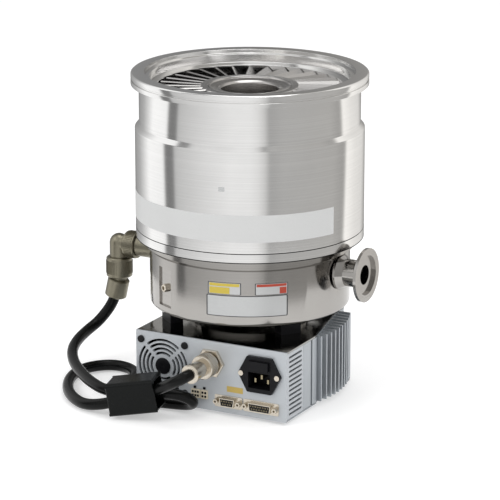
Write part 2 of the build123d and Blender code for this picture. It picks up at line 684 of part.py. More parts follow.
with BuildPart() as fan_impeller:
    with BuildSketch(fan_centre.offset(2.0)):
        Circle(FAN_HUB_R)
    extrude(amount=FAN_DEPTH - 4.5)
    with BuildSketch(fan_centre.offset(3.5)):
        Circle(FAN_PIN_R + RUNNING)
    extrude(amount=FAN_DEPTH, mode=Mode.SUBTRACT)
    for number in range(FAN_BLADES):
        turn = number * 360.0 / FAN_BLADES
        spot = fan_centre.offset(FAN_DEPTH / 2 - 0.5) * Location((0, 0, 0), (0, 0, turn))
        with Locations(spot * Location(((FAN_HUB_R - 1 + FAN_TIP_R) / 2, 0, 0), (35, 0, 0))):
            Box(FAN_TIP_R - FAN_HUB_R + 1, 12.0, 1.2)
fan_impeller.part.label = "fan_impeller"
export_step(fan_impeller.part, "parts/fan_impeller.step")

with BuildPart() as fan_screws:
    with BuildSketch(panel_plane(UNIT_Y0)):
        with Locations((FAN_X, FAN_UP)):
            with GridLocations(FAN_SCREW_PITCH, FAN_SCREW_PITCH, 2, 2):
                Circle(FAN_HEAD_R)
    extrude(amount=FAN_HEAD_H)
    fillet(fan_screws.faces().group_by(Axis.Y)[0].edges(), FAN_HEAD_H * 0.6)
    with BuildSketch(panel_plane(UNIT_Y0)):
        with Locations((FAN_X, FAN_UP)):
            with GridLocations(FAN_SCREW_PITCH, FAN_SCREW_PITCH, 2, 2):
                Circle(FAN_SCREW_R)
    extrude(amount=-(PANEL_T + 8.0))
fan_screws.part.label = "fan_screws"
export_step(fan_screws.part, "parts/fan_screws.step")

# ---------------------------------------------------------------- mains inlet
with BuildPart() as mains_inlet:
    with BuildSketch(panel_plane(UNIT_Y0)):
        with Locations((INLET_X, INLET_UP)):
            Polygon(*INLET_OUTLINE)
    extrude(amount=INLET_T)
    fillet(mains_inlet.edges().filter_by(Axis.Y), 1.5)
    with BuildSketch(panel_plane(UNIT_Y0)):
        with Locations((INLET_X, INLET_UP)):
            Rectangle(INLET_BODY_W, INLET_BODY_H)
    extrude(amount=-INLET_BODY_D)
    with BuildSketch(panel_plane(UNIT_Y0 - INLET_T)):
        with Locations((INLET_X, INLET_UP - SOCKET_DROP)):
            Rectangle(SOCKET_W, SOCKET_H)
    extrude(amount=-SOCKET_D, mode=Mode.SUBTRACT)
    with BuildSketch(panel_plane(UNIT_Y0 - INLET_T)):
        with Locations((INLET_X, INLET_UP + DRAWER_RISE)):
            Rectangle(DRAWER_W + 2 * FIT, DRAWER_H + 2 * FIT)
    extrude(amount=-(DRAWER_D + FIT), mode=Mode.SUBTRACT)
    with BuildSketch(panel_plane(UNIT_Y0 - INLET_T)):
        with Locations((INLET_X - INLET_SCREW_PITCH / 2, INLET_UP), (INLET_X + INLET_SCREW_PITCH / 2, INLET_UP)):
            Circle(1.8)
    extrude(amount=-INLET_T, mode=Mode.SUBTRACT)
mains_inlet.part.label = "mains_inlet"
export_step(mains_inlet.part, "parts/mains_inlet.step")

with BuildPart() as mains_pins:
    with BuildSketch(panel_plane(UNIT_Y0 - INLET_T + SOCKET_D)):
        with Locations((INLET_X - PIN_PITCH, INLET_UP - SOCKET_DROP - 1.5),
                       (INLET_X, INLET_UP - SOCKET_DROP + 2.5),
                       (INLET_X + PIN_PITCH, INLET_UP - SOCKET_DROP - 1.5)):
            Rectangle(PIN_W, PIN_H)
    extrude(amount=PIN_LEN)
mains_pins.part.label = "mains_pins"
export_step(mains_pins.part, "parts/mains_pins.step")

with BuildPart() as fuse_drawer:
    with BuildSketch(panel_plane(UNIT_Y0 - INLET_T - FIT)):
        with Locations((INLET_X, INLET_UP + DRAWER_RISE)):
            Rectangle(DRAWER_W + 2.0, DRAWER_H + 1.6)
    extrude(amount=DRAWER_FACE_T)
    with BuildSketch(panel_plane(UNIT_Y0 - INLET_T - FIT)):
        with Locations((INLET_X, INLET_UP + DRAWER_RISE)):
            Rectangle(DRAWER_W, DRAWER_H)
    extrude(amount=-(DRAWER_D - FIT))
    with BuildSketch(panel_plane(UNIT_Y0 - INLET_T + 1.5)):
        with Locations((INLET_X, INLET_UP + DRAWER_RISE + 1.5)):
            Rectangle(DRAWER_W - 3.0, DRAWER_H - 1.8)
    extrude(amount=-(FUSE_LEN + 1.0), mode=Mode.SUBTRACT)
fuse_drawer.part.label = "fuse_drawer"
export_step(fuse_drawer.part, "parts/fuse_drawer.step")

with BuildPart() as fuses:
    with BuildSketch(panel_plane(UNIT_Y0 - INLET_T + 2.0)):
        with Locations((INLET_X - 4.5, INLET_UP + DRAWER_RISE + 1.2), (INLET_X + 4.5, INLET_UP + DRAWER_RISE + 1.2)):
            Circle(FUSE_R)
    extrude(amount=-FUSE_LEN)
fuses.part.label = "fuses"
export_step(fuses.part, "parts/fuses.step")

with BuildPart() as inlet_screws:
    with BuildSketch(panel_plane(UNIT_Y0 - INLET_T)):
        with Locations((INLET_X - INLET_SCREW_PITCH / 2, INLET_UP), (INLET_X + INLET_SCREW_PITCH / 2, INLET_UP)):
            Circle(1.8)
    extrude(amount=-INLET_T)
    with BuildSketch(panel_plane(UNIT_Y0 - INLET_T)):
        with Locations((INLET_X - INLET_SCREW_PITCH / 2, INLET_UP), (INLET_X + INLET_SCREW_PITCH / 2, INLET_UP)):
            Circle(2.7)
    extrude(amount=1.0)
inlet_screws.part.label = "inlet_screws"
export_step(inlet_screws.part, "parts/inlet_screws.step")

# ---------------------------------------------------------------- signal connectors
for pins, dsub_x, dsub_w, dsub_pitch in ((9, DSUB_9_X, DSUB_9_W, DSUB_9_PITCH),
                                         (15, DSUB_15_X, DSUB_15_W, DSUB_15_PITCH)):
    with BuildPart() as dsub:
        with BuildSketch(panel_plane(UNIT_Y0)):
            with Locations((dsub_x, DSUB_UP)):
                RectangleRounded(dsub_pitch + 6.0, DSUB_PLATE_H, 1.5)
            with Locations((dsub_x - dsub_pitch / 2, DSUB_UP), (dsub_x + dsub_pitch / 2, DSUB_UP)):
                Circle(1.6, mode=Mode.SUBTRACT)
        extrude(amount=DSUB_PLATE_T)
        with BuildSketch(panel_plane(UNIT_Y0)):
            with Locations((dsub_x, DSUB_UP)):
                Trapezoid(dsub_w, DSUB_H, 90 - DSUB_SLANT, rotation=180)
        extrude(amount=DSUB_REACH)
        with BuildSketch(panel_plane(UNIT_Y0)):
            with Locations((dsub_x, DSUB_UP)):
                Trapezoid(dsub_w - 2.0, DSUB_H, 90 - DSUB_SLANT, rotation=180)
        extrude(amount=-9.0)
    dsub.part.label = f"dsub_{pins}"
    export_step(dsub.part, f"parts/dsub_{pins}.step")

with BuildPart() as jack_screws:
    for dsub_x, dsub_pitch in ((DSUB_9_X, DSUB_9_PITCH), (DSUB_15_X, DSUB_15_PITCH)):
        with BuildSketch(panel_plane(UNIT_Y0 - DSUB_PLATE_T)):
            with Locations((dsub_x - dsub_pitch / 2, DSUB_UP), (dsub_x + dsub_pitch / 2, DSUB_UP)):
                RegularPolygon(JACK_R, 6)
                Circle(1.2, mode=Mode.SUBTRACT)
        extrude(amount=JACK_REACH)
        with BuildSketch(panel_plane(UNIT_Y0)):
            with Locations((dsub_x - dsub_pitch / 2, DSUB_UP), (dsub_x + dsub_pitch / 2, DSUB_UP)):
                Circle(1.5)
        extrude(amount=DSUB_PLATE_T)
jack_screws.part.label = "jack_screws"
export_step(jack_screws.part, "parts/jack_screws.step")

for ways, header_x, header_w in ((6, HEADER_6_X, HEADER_6_W), (4, HEADER_4_X, HEADER_4_W)):
    with BuildPart() as header:
        with BuildSketch(panel_plane(UNIT_Y0)):
            with Locations((header_x, HEADER_UP)):
                Rectangle(header_w, HEADER_H)
        extrude(amount=HEADER_REACH)
        extrude(header.faces().sort_by(Axis.Y)[-1], amount=HEADER_D)
        with BuildSketch(panel_plane(UNIT_Y0 - HEADER_REACH)):
            with Locations((header_x, HEADER_UP)):
                with GridLocations((header_w - 1.0) / (ways // 2), HEADER_H / 2 - 0.5, ways // 2, 2):
                    Rectangle((header_w - 1.0) / (ways // 2) - 1.0, HEADER_H / 2 - 1.6)
        extrude(amount=-6.0, mode=Mode.SUBTRACT)
    header.part.label = f"header_{ways}"
    export_step(header.part, f"parts/header_{ways}.step")

with BuildPart() as header_latches:
    with BuildSketch(panel_plane(UNIT_Y0)):
        with Locations((HEADER_6_X - 1.0, HEADER_UP + HEADER_H / 2 + LATCH), (HEADER_4_X, HEADER_UP + HEADER_H / 2 + LATCH)):
            Rectangle(LATCH, LATCH)
    extrude(amount=1.4)
header_latches.part.label = "header_latches"
export_step(header_latches.part, "parts/header_latches.step")

# ---------------------------------------------------------------- circuit board
board_y = (UNIT_Y0 + UNIT_Y1) / 2 + 10
board_x = (UNIT_X0 + SINK_BACK_X) / 2
board_w = SINK_BACK_X - UNIT_X0 - 2 * SHEET - 6
board_d = 120.0
with BuildPart() as board_standoffs:
    with Locations((board_x, board_y, Z_UNIT_IN + STANDOFF_H / 2)):
        with GridLocations(board_w - 10, board_d - 10, 2, 2):
            Cylinder(STANDOFF_R, STANDOFF_H)
board_standoffs.part.label = "board_standoffs"
export_step(board_standoffs.part, "parts/board_standoffs.step")

with BuildPart() as circuit_board:
    with Locations((board_x, board_y, Z_UNIT_IN + STANDOFF_H + BOARD_T / 2)):
        Box(board_w, board_d, BOARD_T)
circuit_board.part.label = "circuit_board"
export_step(circuit_board.part, "parts/circuit_board.step")

board_top = Z_UNIT_IN + STANDOFF_H + BOARD_T
with BuildPart() as board_components:
    with Locations((board_x + 30, board_y + 25, board_top)):
        Box(46, 38, 34, align=(Align.CENTER, Align.CENTER, Align.MIN))
    with Locations((board_x - 35, board_y + 30, board_top)):
        with GridLocations(22, 24, 2, 2):
            Cylinder(9, 32, align=(Align.CENTER, Align.CENTER, Align.MIN))
    with Locations((board_x - 30, board_y - 20, board_top)):
        Box(34, 18, 14, align=(Align.CENTER, Align.CENTER, Align.MIN))
    with Locations((board_x + 32, board_y - 25, board_top)):
        Box(22, 22, 4, align=(Align.CENTER, Align.CENTER, Align.MIN))
board_components.part.label = "board_components"
export_step(board_components.part, "parts/board_components.step")

# ---------------------------------------------------------------- panel plug for the motor lead
with BuildPart() as motor_receptacle:
    with BuildSketch(panel_plane(UNIT_Y0 + PANEL_T)):
        with Locations((PLUG_X, PLUG_UP)):
            Circle(RECEPTACLE_R)
    extrude(amount=PANEL_T + RING_START - FIT)
    with BuildSketch(panel_plane(UNIT_Y0 + PANEL_T)):
        with Locations((PLUG_X, PLUG_UP)):
            Circle(RECEPTACLE_R + 4)
    extrude(amount=-10.0)
motor_receptacle.part.label = "motor_receptacle"
export_step(motor_receptacle.part, "parts/motor_receptacle.step")

with BuildPart() as panel_nut:
    with BuildSketch(panel_plane(UNIT_Y0)):
        with Locations((PLUG_X, PLUG_UP)):
            RegularPolygon(PANEL_NUT_AF / 2, 6, major_radius=False)
            Circle(RECEPTACLE_R, mode=Mode.SUBTRACT)
    extrude(amount=PANEL_NUT_T)
    chamfer(panel_nut.faces().sort_by(Axis.Y)[0].outer_wire().edges(), length=0.8)
panel_nut.part.label = "panel_nut"
export_step(panel_nut.part, "parts/panel_nut.step")

with BuildPart() as plug_body:
    with BuildSketch(panel_plane(UNIT_Y0 - RING_START + FIT)):
        with Locations((PLUG_X, PLUG_UP)):
            Circle(PLUG_BODY_R)
    extrude(amount=PLUG_LEN_OUT - RING_START - FIT)
plug_body.part.label = "plug_body"
export_step(plug_body.part, "parts/plug_body.step")

with BuildPart() as plug_coupling_ring:
    with BuildSketch(panel_plane(UNIT_Y0 - RING_START)):
        with Locations((PLUG_X, PLUG_UP)):
            Circle(RING_R)
            Circle(PLUG_BODY_R + RUNNING, mode=Mode.SUBTRACT)
    extrude(amount=RING_LEN)
    chamfer(plug_coupling_ring.edges().filter_by(GeomType.CIRCLE).group_by(SortBy.RADIUS)[-1], length=0.8)
plug_coupling_ring.part.label = "plug_coupling_ring"
export_step(plug_coupling_ring.part, "parts/plug_coupling_ring.step")

with BuildPart() as plug_gland:
    with BuildSketch(panel_plane(UNIT_Y0 - PLUG_LEN_OUT)):
        with Locations((PLUG_X, PLUG_UP)):
            Circle(GLAND_R)
    extrude(amount=GLAND_LEN)
    chamfer(plug_gland.faces().sort_by(Axis.Y)[0].edges(), length=1.2)
    with BuildSketch(panel_plane(UNIT_Y0 - PLUG_LEN_OUT - GLAND_LEN)):
        with Locations((PLUG_X, PLUG_UP)):
            Circle(CABLE_R)
    extrude(amount=-4.0, mode=Mode.SUBTRACT)
plug_gland.part.label = "plug_gland"
export_step(plug_gland.part, "parts/plug_gland.step")

# ---------------------------------------------------------------- elbow connector on the base
elbow_line = Plane(origin=(0, 0, ELBOW_Z), x_dir=(0, 1, 0), z_dir=(-1, 0, 0))
with BuildPart() as elbow_receptacle:
    with BuildSketch(elbow_line.offset(ELBOW_SEAT)):
        Circle(ELBOW_BASE_R)
    extrude(amount=ELBOW_START - ELBOW_SEAT - FIT)
    with BuildSketch(elbow_line.offset(HOUSING_R + FIT)):
        RectangleRounded(27.0, 27.0, 3.0)
    extrude(amount=3.0)
elbow_receptacle.part.label = "elbow_receptacle"
export_step(elbow_receptacle.part, "parts/elbow_receptacle.step")

with BuildPart() as elbow_body:
    with BuildSketch(elbow_line.offset(ELBOW_START)):
        Circle(ELBOW_R - 1.0)
    extrude(amount=-ELBOW_AXIS_X - ELBOW_START)
    with BuildSketch(Plane.XY.offset(ELBOW_Z - ELBOW_DROP)):
        with Locations((ELBOW_AXIS_X, 0)):
            Circle(ELBOW_R)
    extrude(amount=ELBOW_DROP)
    with Locations((ELBOW_AXIS_X, 0, ELBOW_Z)):
        Sphere(ELBOW_R)
elbow_body.part.label = "elbow_body"
export_step(elbow_body.part, "parts/elbow_body.step")

with BuildPart() as elbow_coupling_ring:
    with BuildSketch(elbow_line.offset(ELBOW_START)):
        Circle(ELBOW_RING_R)
        Circle(ELBOW_R - 1.0 + RUNNING, mode=Mode.SUBTRACT)
    extrude(amount=ELBOW_RING_LEN)
    chamfer(elbow_coupling_ring.edges().filter_by(GeomType.CIRCLE).group_by(SortBy.RADIUS)[-1], length=0.9)
elbow_coupling_ring.part.label = "elbow_coupling_ring"
export_step(elbow_coupling_ring.part, "parts/elbow_coupling_ring.step")

with BuildPart() as elbow_backshell:
    with BuildSketch(Plane.XY.offset(ELBOW_Z - ELBOW_DROP)):
        with Locations((ELBOW_AXIS_X, 0)):
            Circle(SHELL_R)
    extrude(amount=-SHELL_LEN)
    chamfer(elbow_backshell.edges().filter_by(GeomType.CIRCLE), length=1.2)
elbow_backshell.part.label = "elbow_backshell"
export_step(elbow_backshell.part, "parts/elbow_backshell.step")

clamp_plane = Plane(origin=(ELBOW_AXIS_X, 0, ELBOW_Z - ELBOW_DROP - SHELL_LEN), x_dir=(0, 1, 0),
                    z_dir=(-sin(radians(CLAMP_TILT)), 0, -cos(radians(CLAMP_TILT))))
clamp_end = clamp_plane.origin + clamp_plane.z_dir * (CLAMP_LEN + 3.0)
with BuildPart() as cable_clamp:
    with BuildSketch(clamp_plane):
        Circle(CLAMP_R - 3.5)
    extrude(amount=4.0)
    with BuildSketch(clamp_plane.offset(3.0)):
        Circle(CLAMP_R)
    extrude(amount=CLAMP_LEN)
    chamfer(cable_clamp.edges().filter_by(GeomType.CIRCLE).group_by(SortBy.RADIUS)[-1], length=1.2)
    with BuildSketch(clamp_plane.offset(CLAMP_LEN - 7.0)):
        Circle(CABLE_R)
    extrude(amount=12.0, mode=Mode.SUBTRACT)
    with Locations((ELBOW_AXIS_X, 0, ELBOW_Z - ELBOW_DROP - SHELL_LEN + SHELL_LEN / 2)):
        Cylinder(SHELL_R, SHELL_LEN, mode=Mode.SUBTRACT)
cable_clamp.part.label = "cable_clamp"
export_step(cable_clamp.part, "parts/cable_clamp.step")

# ---------------------------------------------------------------- motor lead, heights from the floor
CABLE_ROUTE = (
    (-173, -11, 42), (-178, -30, 35), (-176, -54, 31), (-168, -77, 28),
    (-153, -99, 25), (-132, -121, 23.5), (-106, -143, 22.5), (-78, -158, 21.5), (-48, -151, 23.5),
    (-24, -145, 24), (-9, -141.5, 24.5), (2, -136.5, 21), (5, -129, 14), (-3, -122.5, 8.5),
    (-16, -120.5, 6.3), (-32, -122, 5.9), (-48, -125.5, 5.9), (-66, -129, 5.9), (-83, -126, 5.9), (-95, -112, 5.9), (-98, -93, 5.9),
    (-98, -73, 5.9), (-104, -55, 5.9), (-119, -42, 5.9), (-138, -39, 5.9), (-154, -50, 5.9),
    (-162, -69, 5.9), (-160, -91, 5.9), (-151, -114, 5.9), (-137, -136, 5.9), (-119, -154, 5.9),
    (-98, -166, 6.3), (-73, -168, 12), (-48, -163, 22), (-22, -158.5, 31.5), (-8, -162, 39), (4, -166, 46),
    (13, -164.5, 51),
)
cable_start = clamp_end - clamp_plane.z_dir * 8.0
gland_face = Vector(PLUG_X, UNIT_Y0 - PLUG_LEN_OUT - GLAND_LEN, Z_BASE + PLUG_UP)
route = [cable_start, clamp_end + clamp_plane.z_dir * 6.0]
route += [Vector(x, y, Z_FLOOR + up) for x, y, up in CABLE_ROUTE]
route += [gland_face, gland_face + Vector(0, 4.0, 0)]
corner_radii = []
for before, corner, after in zip(route, route[1:], route[2:]):
    shorter = min((corner - before).length, (after - corner).length)
    turn = (corner - before).get_angle(after - corner)
    corner_radii.append(0.45 * shorter / tan(radians(turn) / 2))
print("cable radii", [round(radius, 1) for radius in corner_radii])

with BuildPart() as motor_cable:
    with BuildLine() as cable_line:
        FilletPolyline(*route, radius=corner_radii)
    with BuildSketch(Plane(origin=cable_line.line @ 0, z_dir=cable_line.line % 0)):
        Circle(CABLE_R)
    sweep()
cable_len = sum(edge.length for edge in cable_line.edges())
print("cable length", round(cable_len, 1), "volume ratio",
      round(motor_cable.part.volume / (pi * CABLE_R ** 2 * cable_len), 4))
motor_cable.part.label = "motor_cable"
export_step(motor_cable.part, "parts/motor_cable.step")

bead_end = Plane(origin=(BEAD_X, BEAD_Y, Z_FLOOR + BEAD_UP), x_dir=(-sin(radians(BEAD_TURN)), cos(radians(BEAD_TURN)), 0),
                 z_dir=(cos(radians(BEAD_TURN)) * cos(radians(BEAD_TILT)),
                        sin(radians(BEAD_TURN)) * cos(radians(BEAD_TILT)), sin(radians(BEAD_TILT))))
with BuildPart() as ferrite_block:
    with BuildSketch(bead_end):
        RectangleRounded(BEAD_W, BEAD_H, 4.0)
        RectangleRounded(BEAD_WINDOW, BEAD_WINDOW, 5.0, mode=Mode.SUBTRACT)
    extrude(amount=BEAD_L)
ferrite_block.part.label = "ferrite_block"
export_step(ferrite_block.part, "parts/ferrite_block.step")
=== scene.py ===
"""Looks of the turbomolecular pump: finishes, lathe-turned shells, plates, contacts and the motor lead.

Everything is in metres in the row frame: the origin is the centre of the inlet face and +Z leaves the inlet.
"""
import json
import logging
import math
from dataclasses import dataclass, field
from enum import Enum
from typing import Iterable, Optional, Sequence

import bmesh
import bpy
from mathutils import Matrix, Vector


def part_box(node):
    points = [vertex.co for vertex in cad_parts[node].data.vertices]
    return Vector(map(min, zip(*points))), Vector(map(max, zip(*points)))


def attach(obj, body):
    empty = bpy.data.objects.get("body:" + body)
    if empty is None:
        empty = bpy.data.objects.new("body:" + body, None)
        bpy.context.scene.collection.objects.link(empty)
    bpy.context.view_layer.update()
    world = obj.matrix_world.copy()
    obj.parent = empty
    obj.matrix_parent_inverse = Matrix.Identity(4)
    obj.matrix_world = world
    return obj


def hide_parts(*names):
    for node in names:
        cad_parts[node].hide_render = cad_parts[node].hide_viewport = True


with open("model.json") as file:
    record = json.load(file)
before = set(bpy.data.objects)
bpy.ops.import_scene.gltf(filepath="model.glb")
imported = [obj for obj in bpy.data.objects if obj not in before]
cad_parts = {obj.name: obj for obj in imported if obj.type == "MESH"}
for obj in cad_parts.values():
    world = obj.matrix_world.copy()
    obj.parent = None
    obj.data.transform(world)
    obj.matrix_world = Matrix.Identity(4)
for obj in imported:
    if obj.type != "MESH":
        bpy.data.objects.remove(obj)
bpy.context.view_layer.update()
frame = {"nodes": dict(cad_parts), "record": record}

log = logging.getLogger("pump")
logging.basicConfig(level=logging.INFO, format="%(name)s %(message)s")

MM = 0.001
Point = tuple[float, float, float]
Colour = tuple[float, float, float]
Corner = tuple[float, float]
FACING_FRONT = Matrix.Rotation(math.radians(90), 4, "X")


class Body(Enum):
    """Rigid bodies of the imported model."""

    PUMP = "pump"
    ROTOR = "rotor"
    FAN = "fan"
    DRAWER = "drawer"
    PLUG_RING = "plug_ring"
    ELBOW_RING = "elbow_ring"


class Grain(Enum):
    """Direction in which a tool or a roller has marked a surface."""

    TURNED = "rings about the pump axis"
    ALONG_X = "lines along X"
    ALONG_Z = "lines along Z"
    EVEN = "no direction"


@dataclass(frozen=True)
class Finish:
    """A procedural surface finish.

    Attributes:
        name: Name of the material.
        colour: Base colour, linear.
        metallic: Share of metal in the shader.
        roughness: Mean roughness.
        spread: How far the grain moves the roughness each way.
        shade: How far the grain darkens the colour.
        grain: Direction of the marks.
        fineness: Marks per metre.
        relief: Bump height in metres.
        coat: Weight of the clear coat.
        specular: Strength of the sheen of a surface that isn't metal.
    """

    name: str
    colour: Colour
    metallic: float = 0.0
    roughness: float = 0.45
    spread: float = 0.08
    shade: float = 0.08
    grain: Grain = Grain.EVEN
    fineness: float = 900.0
    relief: float = 0.00002
    coat: float = 0.0
    specular: float = 0.5

    def material(self) -> bpy.types.Material:
        """Return the material of this finish, made once.

        Returns:
            The Blender material.
        """
        title = "look_" + self.name
        known = bpy.data.materials.get(title)
        if known:
            return known
        material = bpy.data.materials.new(title)
        material.use_nodes = True
        nodes, links = material.node_tree.nodes, material.node_tree.links
        shader = nodes["Principled BSDF"]
        shader.inputs["Metallic"].default_value = self.metallic
        shader.inputs["Coat Weight"].default_value = self.coat
        shader.inputs["Specular IOR Level"].default_value = self.specular
        noise = nodes.new("ShaderNodeTexNoise")
        noise.inputs["Scale"].default_value = 1.0
        noise.inputs["Detail"].default_value = 4.0
        noise.inputs["Roughness"].default_value = 0.6
        links.new(self._coordinates(nodes, links), noise.inputs["Vector"])
        wear = nodes.new("ShaderNodeTexNoise")
        wear.inputs["Scale"].default_value = 22.0
        wear.inputs["Detail"].default_value = 3.0
        place = nodes.new("ShaderNodeTexCoord")
        links.new(place.outputs["Object"], wear.inputs["Vector"])
        rough = nodes.new("ShaderNodeMapRange")
        rough.inputs["To Min"].default_value = max(0.02, self.roughness - self.spread)
        rough.inputs["To Max"].default_value = self.roughness + self.spread
        links.new(noise.outputs["Fac"], rough.inputs["Value"])
        links.new(rough.outputs["Result"], shader.inputs["Roughness"])
        fine = nodes.new("ShaderNodeMapRange")
        fine.inputs["From Min"].default_value = 0.3
        fine.inputs["From Max"].default_value = 0.7
        fine.inputs["To Min"].default_value = 1.0 - self.shade
        fine.inputs["To Max"].default_value = 1.0
        links.new(noise.outputs["Fac"], fine.inputs["Value"])
        broad = nodes.new("ShaderNodeMapRange")
        broad.inputs["From Min"].default_value = 0.3
        broad.inputs["From Max"].default_value = 0.7
        broad.inputs["To Min"].default_value = 1.0 - self.shade / 2
        broad.inputs["To Max"].default_value = 1.0
        links.new(wear.outputs["Fac"], broad.inputs["Value"])
        both = nodes.new("ShaderNodeMath")
        both.operation = "MULTIPLY"
        links.new(fine.outputs["Result"], both.inputs[0])
        links.new(broad.outputs["Result"], both.inputs[1])
        tint = nodes.new("ShaderNodeVectorMath")
        tint.operation = "SCALE"
        tint.inputs[0].default_value = self.colour
        links.new(both.outputs["Value"], tint.inputs["Scale"])
        links.new(tint.outputs["Vector"], shader.inputs["Base Color"])
        bump = nodes.new("ShaderNodeBump")
        bump.inputs["Strength"].default_value = 1.0
        bump.inputs["Distance"].default_value = self.relief
        links.new(noise.outputs["Fac"], bump.inputs["Height"])
        links.new(bump.outputs["Normal"], shader.inputs["Normal"])
        material.diffuse_color = (*self.colour, 1.0)
        return material

    def _coordinates(self, nodes: bpy.types.Nodes, links: bpy.types.NodeLinks) -> bpy.types.NodeSocket:
        """Build the coordinates that the grain follows.

        Args:
            nodes: Nodes of the material.
            links: Links of the material.

        Returns:
            The socket with the stretched coordinates.
        """
        place = nodes.new("ShaderNodeTexCoord")
        if self.grain is not Grain.TURNED:
            scale = nodes.new("ShaderNodeMapping")
            slow = self.fineness * (1.0 if self.grain is Grain.EVEN else 0.02)
            scale.inputs["Scale"].default_value = (
                slow if self.grain is Grain.ALONG_X else self.fineness,
                self.fineness,
                slow if self.grain is Grain.ALONG_Z else self.fineness,
            )
            links.new(place.outputs["Object"], scale.inputs["Vector"])
            return scale.outputs["Vector"]
        split = nodes.new("ShaderNodeSeparateXYZ")
        links.new(place.outputs["Object"], split.inputs["Vector"])
        flat = nodes.new("ShaderNodeCombineXYZ")
        links.new(split.outputs["X"], flat.inputs["X"])
        links.new(split.outputs["Y"], flat.inputs["Y"])
        radius = nodes.new("ShaderNodeVectorMath")
        radius.operation = "LENGTH"
        links.new(flat.outputs["Vector"], radius.inputs[0])
        turned = nodes.new("ShaderNodeCombineXYZ")
        for value, axis in ((radius.outputs["Value"], "X"), (split.outputs["Z"], "Y")):
            stretch = nodes.new("ShaderNodeMath")
            stretch.operation = "MULTIPLY"
            stretch.inputs[1].default_value = self.fineness
            links.new(value, stretch.inputs[0])
            links.new(stretch.outputs["Value"], turned.inputs[axis])
        return turned.outputs["Vector"]


STEEL = Finish("turned_steel", (0.86, 0.855, 0.845), 1.0, 0.12, 0.04, 0.10, Grain.TURNED, 1400.0, 0.000004)
BASE = Finish("base_metal", (0.43, 0.415, 0.395), 1.0, 0.14, 0.05, 0.12, Grain.TURNED, 1200.0, 0.000005)
ROTOR = Finish("rotor_alloy", (0.46, 0.45, 0.44), 1.0, 0.24, 0.06, 0.12, Grain.TURNED, 1600.0, 0.000004)
HUB_ALLOY = Finish("hub_alloy", (0.50, 0.485, 0.47), 1.0, 0.24, 0.06, 0.1, Grain.TURNED, 1600.0, 0.000004)
GROUND = Finish("shaft_steel", (0.55, 0.55, 0.55), 1.0, 0.18, 0.05, 0.08, Grain.TURNED, 2200.0, 0.000003)
WINDING = Finish("copper_core", (0.45, 0.22, 0.08), 1.0, 0.35, 0.08, 0.3, Grain.ALONG_Z, 1500.0, 0.00008)
PANEL = Finish("panel_grey", (0.58, 0.61, 0.64), 0.35, 0.42, 0.08, 0.10, Grain.EVEN, 2600.0, 0.00003)
SHEET = Finish("sheet_steel", (0.34, 0.34, 0.33), 1.0, 0.10, 0.03, 0.06, Grain.ALONG_X, 1400.0, 0.000002)
SINK = Finish("sink_alloy", (0.50, 0.53, 0.56), 0.55, 0.36, 0.07, 0.14, Grain.ALONG_Z, 1600.0, 0.00001)
RUBBER = Finish("black_rubber", (0.010, 0.010, 0.010),
                0.0, 0.65, 0.1, 0.2, Grain.EVEN, 1500.0, 0.00004, 0.0, 0.15)
PLASTIC = Finish("black_plastic", (0.006, 0.006, 0.0075),
                 0.0, 0.36, 0.06, 0.15, Grain.EVEN, 2400.0, 0.00002, 0.0, 0.16)
BLACK_OXIDE = Finish("screw_black", (0.012, 0.012, 0.013),
                     0.3, 0.4, 0.08, 0.2, Grain.EVEN, 2000.0, 0.00001, 0.0, 0.25)
NICKEL = Finish("nickel", (0.62, 0.565, 0.48), 1.0, 0.21, 0.06, 0.08, Grain.EVEN, 1500.0, 0.000004)
BRONZE = Finish("bronze_plate", (0.27, 0.25, 0.19), 1.0, 0.32, 0.08, 0.2, Grain.EVEN, 1200.0, 0.00001)
IVORY = Finish("ivory_plastic", (0.80, 0.72, 0.56), 0.0, 0.42, 0.06, 0.08, Grain.EVEN, 1800.0, 0.00001)
# Pin metal darkened below bare gold: painted shade of pins sitting deep in their sockets.
SHADED_PIN_METAL = Finish("pin_metal", (0.34, 0.29, 0.19), 1.0, 0.25, 0.05, 0.08, Grain.EVEN, 1500.0, 0.000003)
BOARD = Finish("board_green", (0.03, 0.16, 0.06), 0.0, 0.35, 0.06, 0.2, Grain.EVEN, 900.0, 0.00002)
MOULDED = Finish("component", (0.05, 0.05, 0.07), 0.0, 0.45, 0.06, 0.2, Grain.EVEN, 900.0, 0.00002)
GLASS = Finish("fuse_glass", (0.80, 0.84, 0.84), 0.2, 0.08, 0.03, 0.05, Grain.EVEN, 900.0, 0.000002, 0.6)
JACKET = Finish("cable_jacket", (0.003, 0.0034, 0.0032),
                0.0, 0.26, 0.05, 0.25, Grain.EVEN, 1300.0, 0.00001, 0.0, 0.16)
FERRITE = Finish("ferrite", (0.003, 0.004, 0.0037),
                 0.0, 0.28, 0.05, 0.2, Grain.EVEN, 1700.0, 0.00001, 0.0, 0.16)
SILVER_PLATE = Finish("silver_plate", (0.62, 0.63, 0.63),
                      0.6, 0.34, 0.05, 0.08, Grain.ALONG_X, 1500.0, 0.000005)
DARK_INK = Finish("dark_ink", (0.05, 0.055, 0.06), 0.1, 0.4, 0.05, 0.1, Grain.EVEN, 1500.0, 0.000005)
WHITE_FILM = Finish("white_film", (0.74, 0.745, 0.74), 0.0, 0.42, 0.05, 0.05, Grain.EVEN, 1200.0, 0.000008)
YELLOW_FILM = Finish("yellow_film", (0.72, 0.56, 0.08), 0.0, 0.4, 0.05, 0.08, Grain.EVEN, 1200.0, 0.000008)
RED_FILM = Finish("red_film", (0.50, 0.06, 0.03), 0.0, 0.4, 0.05, 0.08, Grain.EVEN, 1200.0, 0.000008)
GOLD_FILM = Finish("gold_film", (0.62, 0.45, 0.12), 0.3, 0.36, 0.05, 0.1, Grain.EVEN, 1200.0, 0.000008)

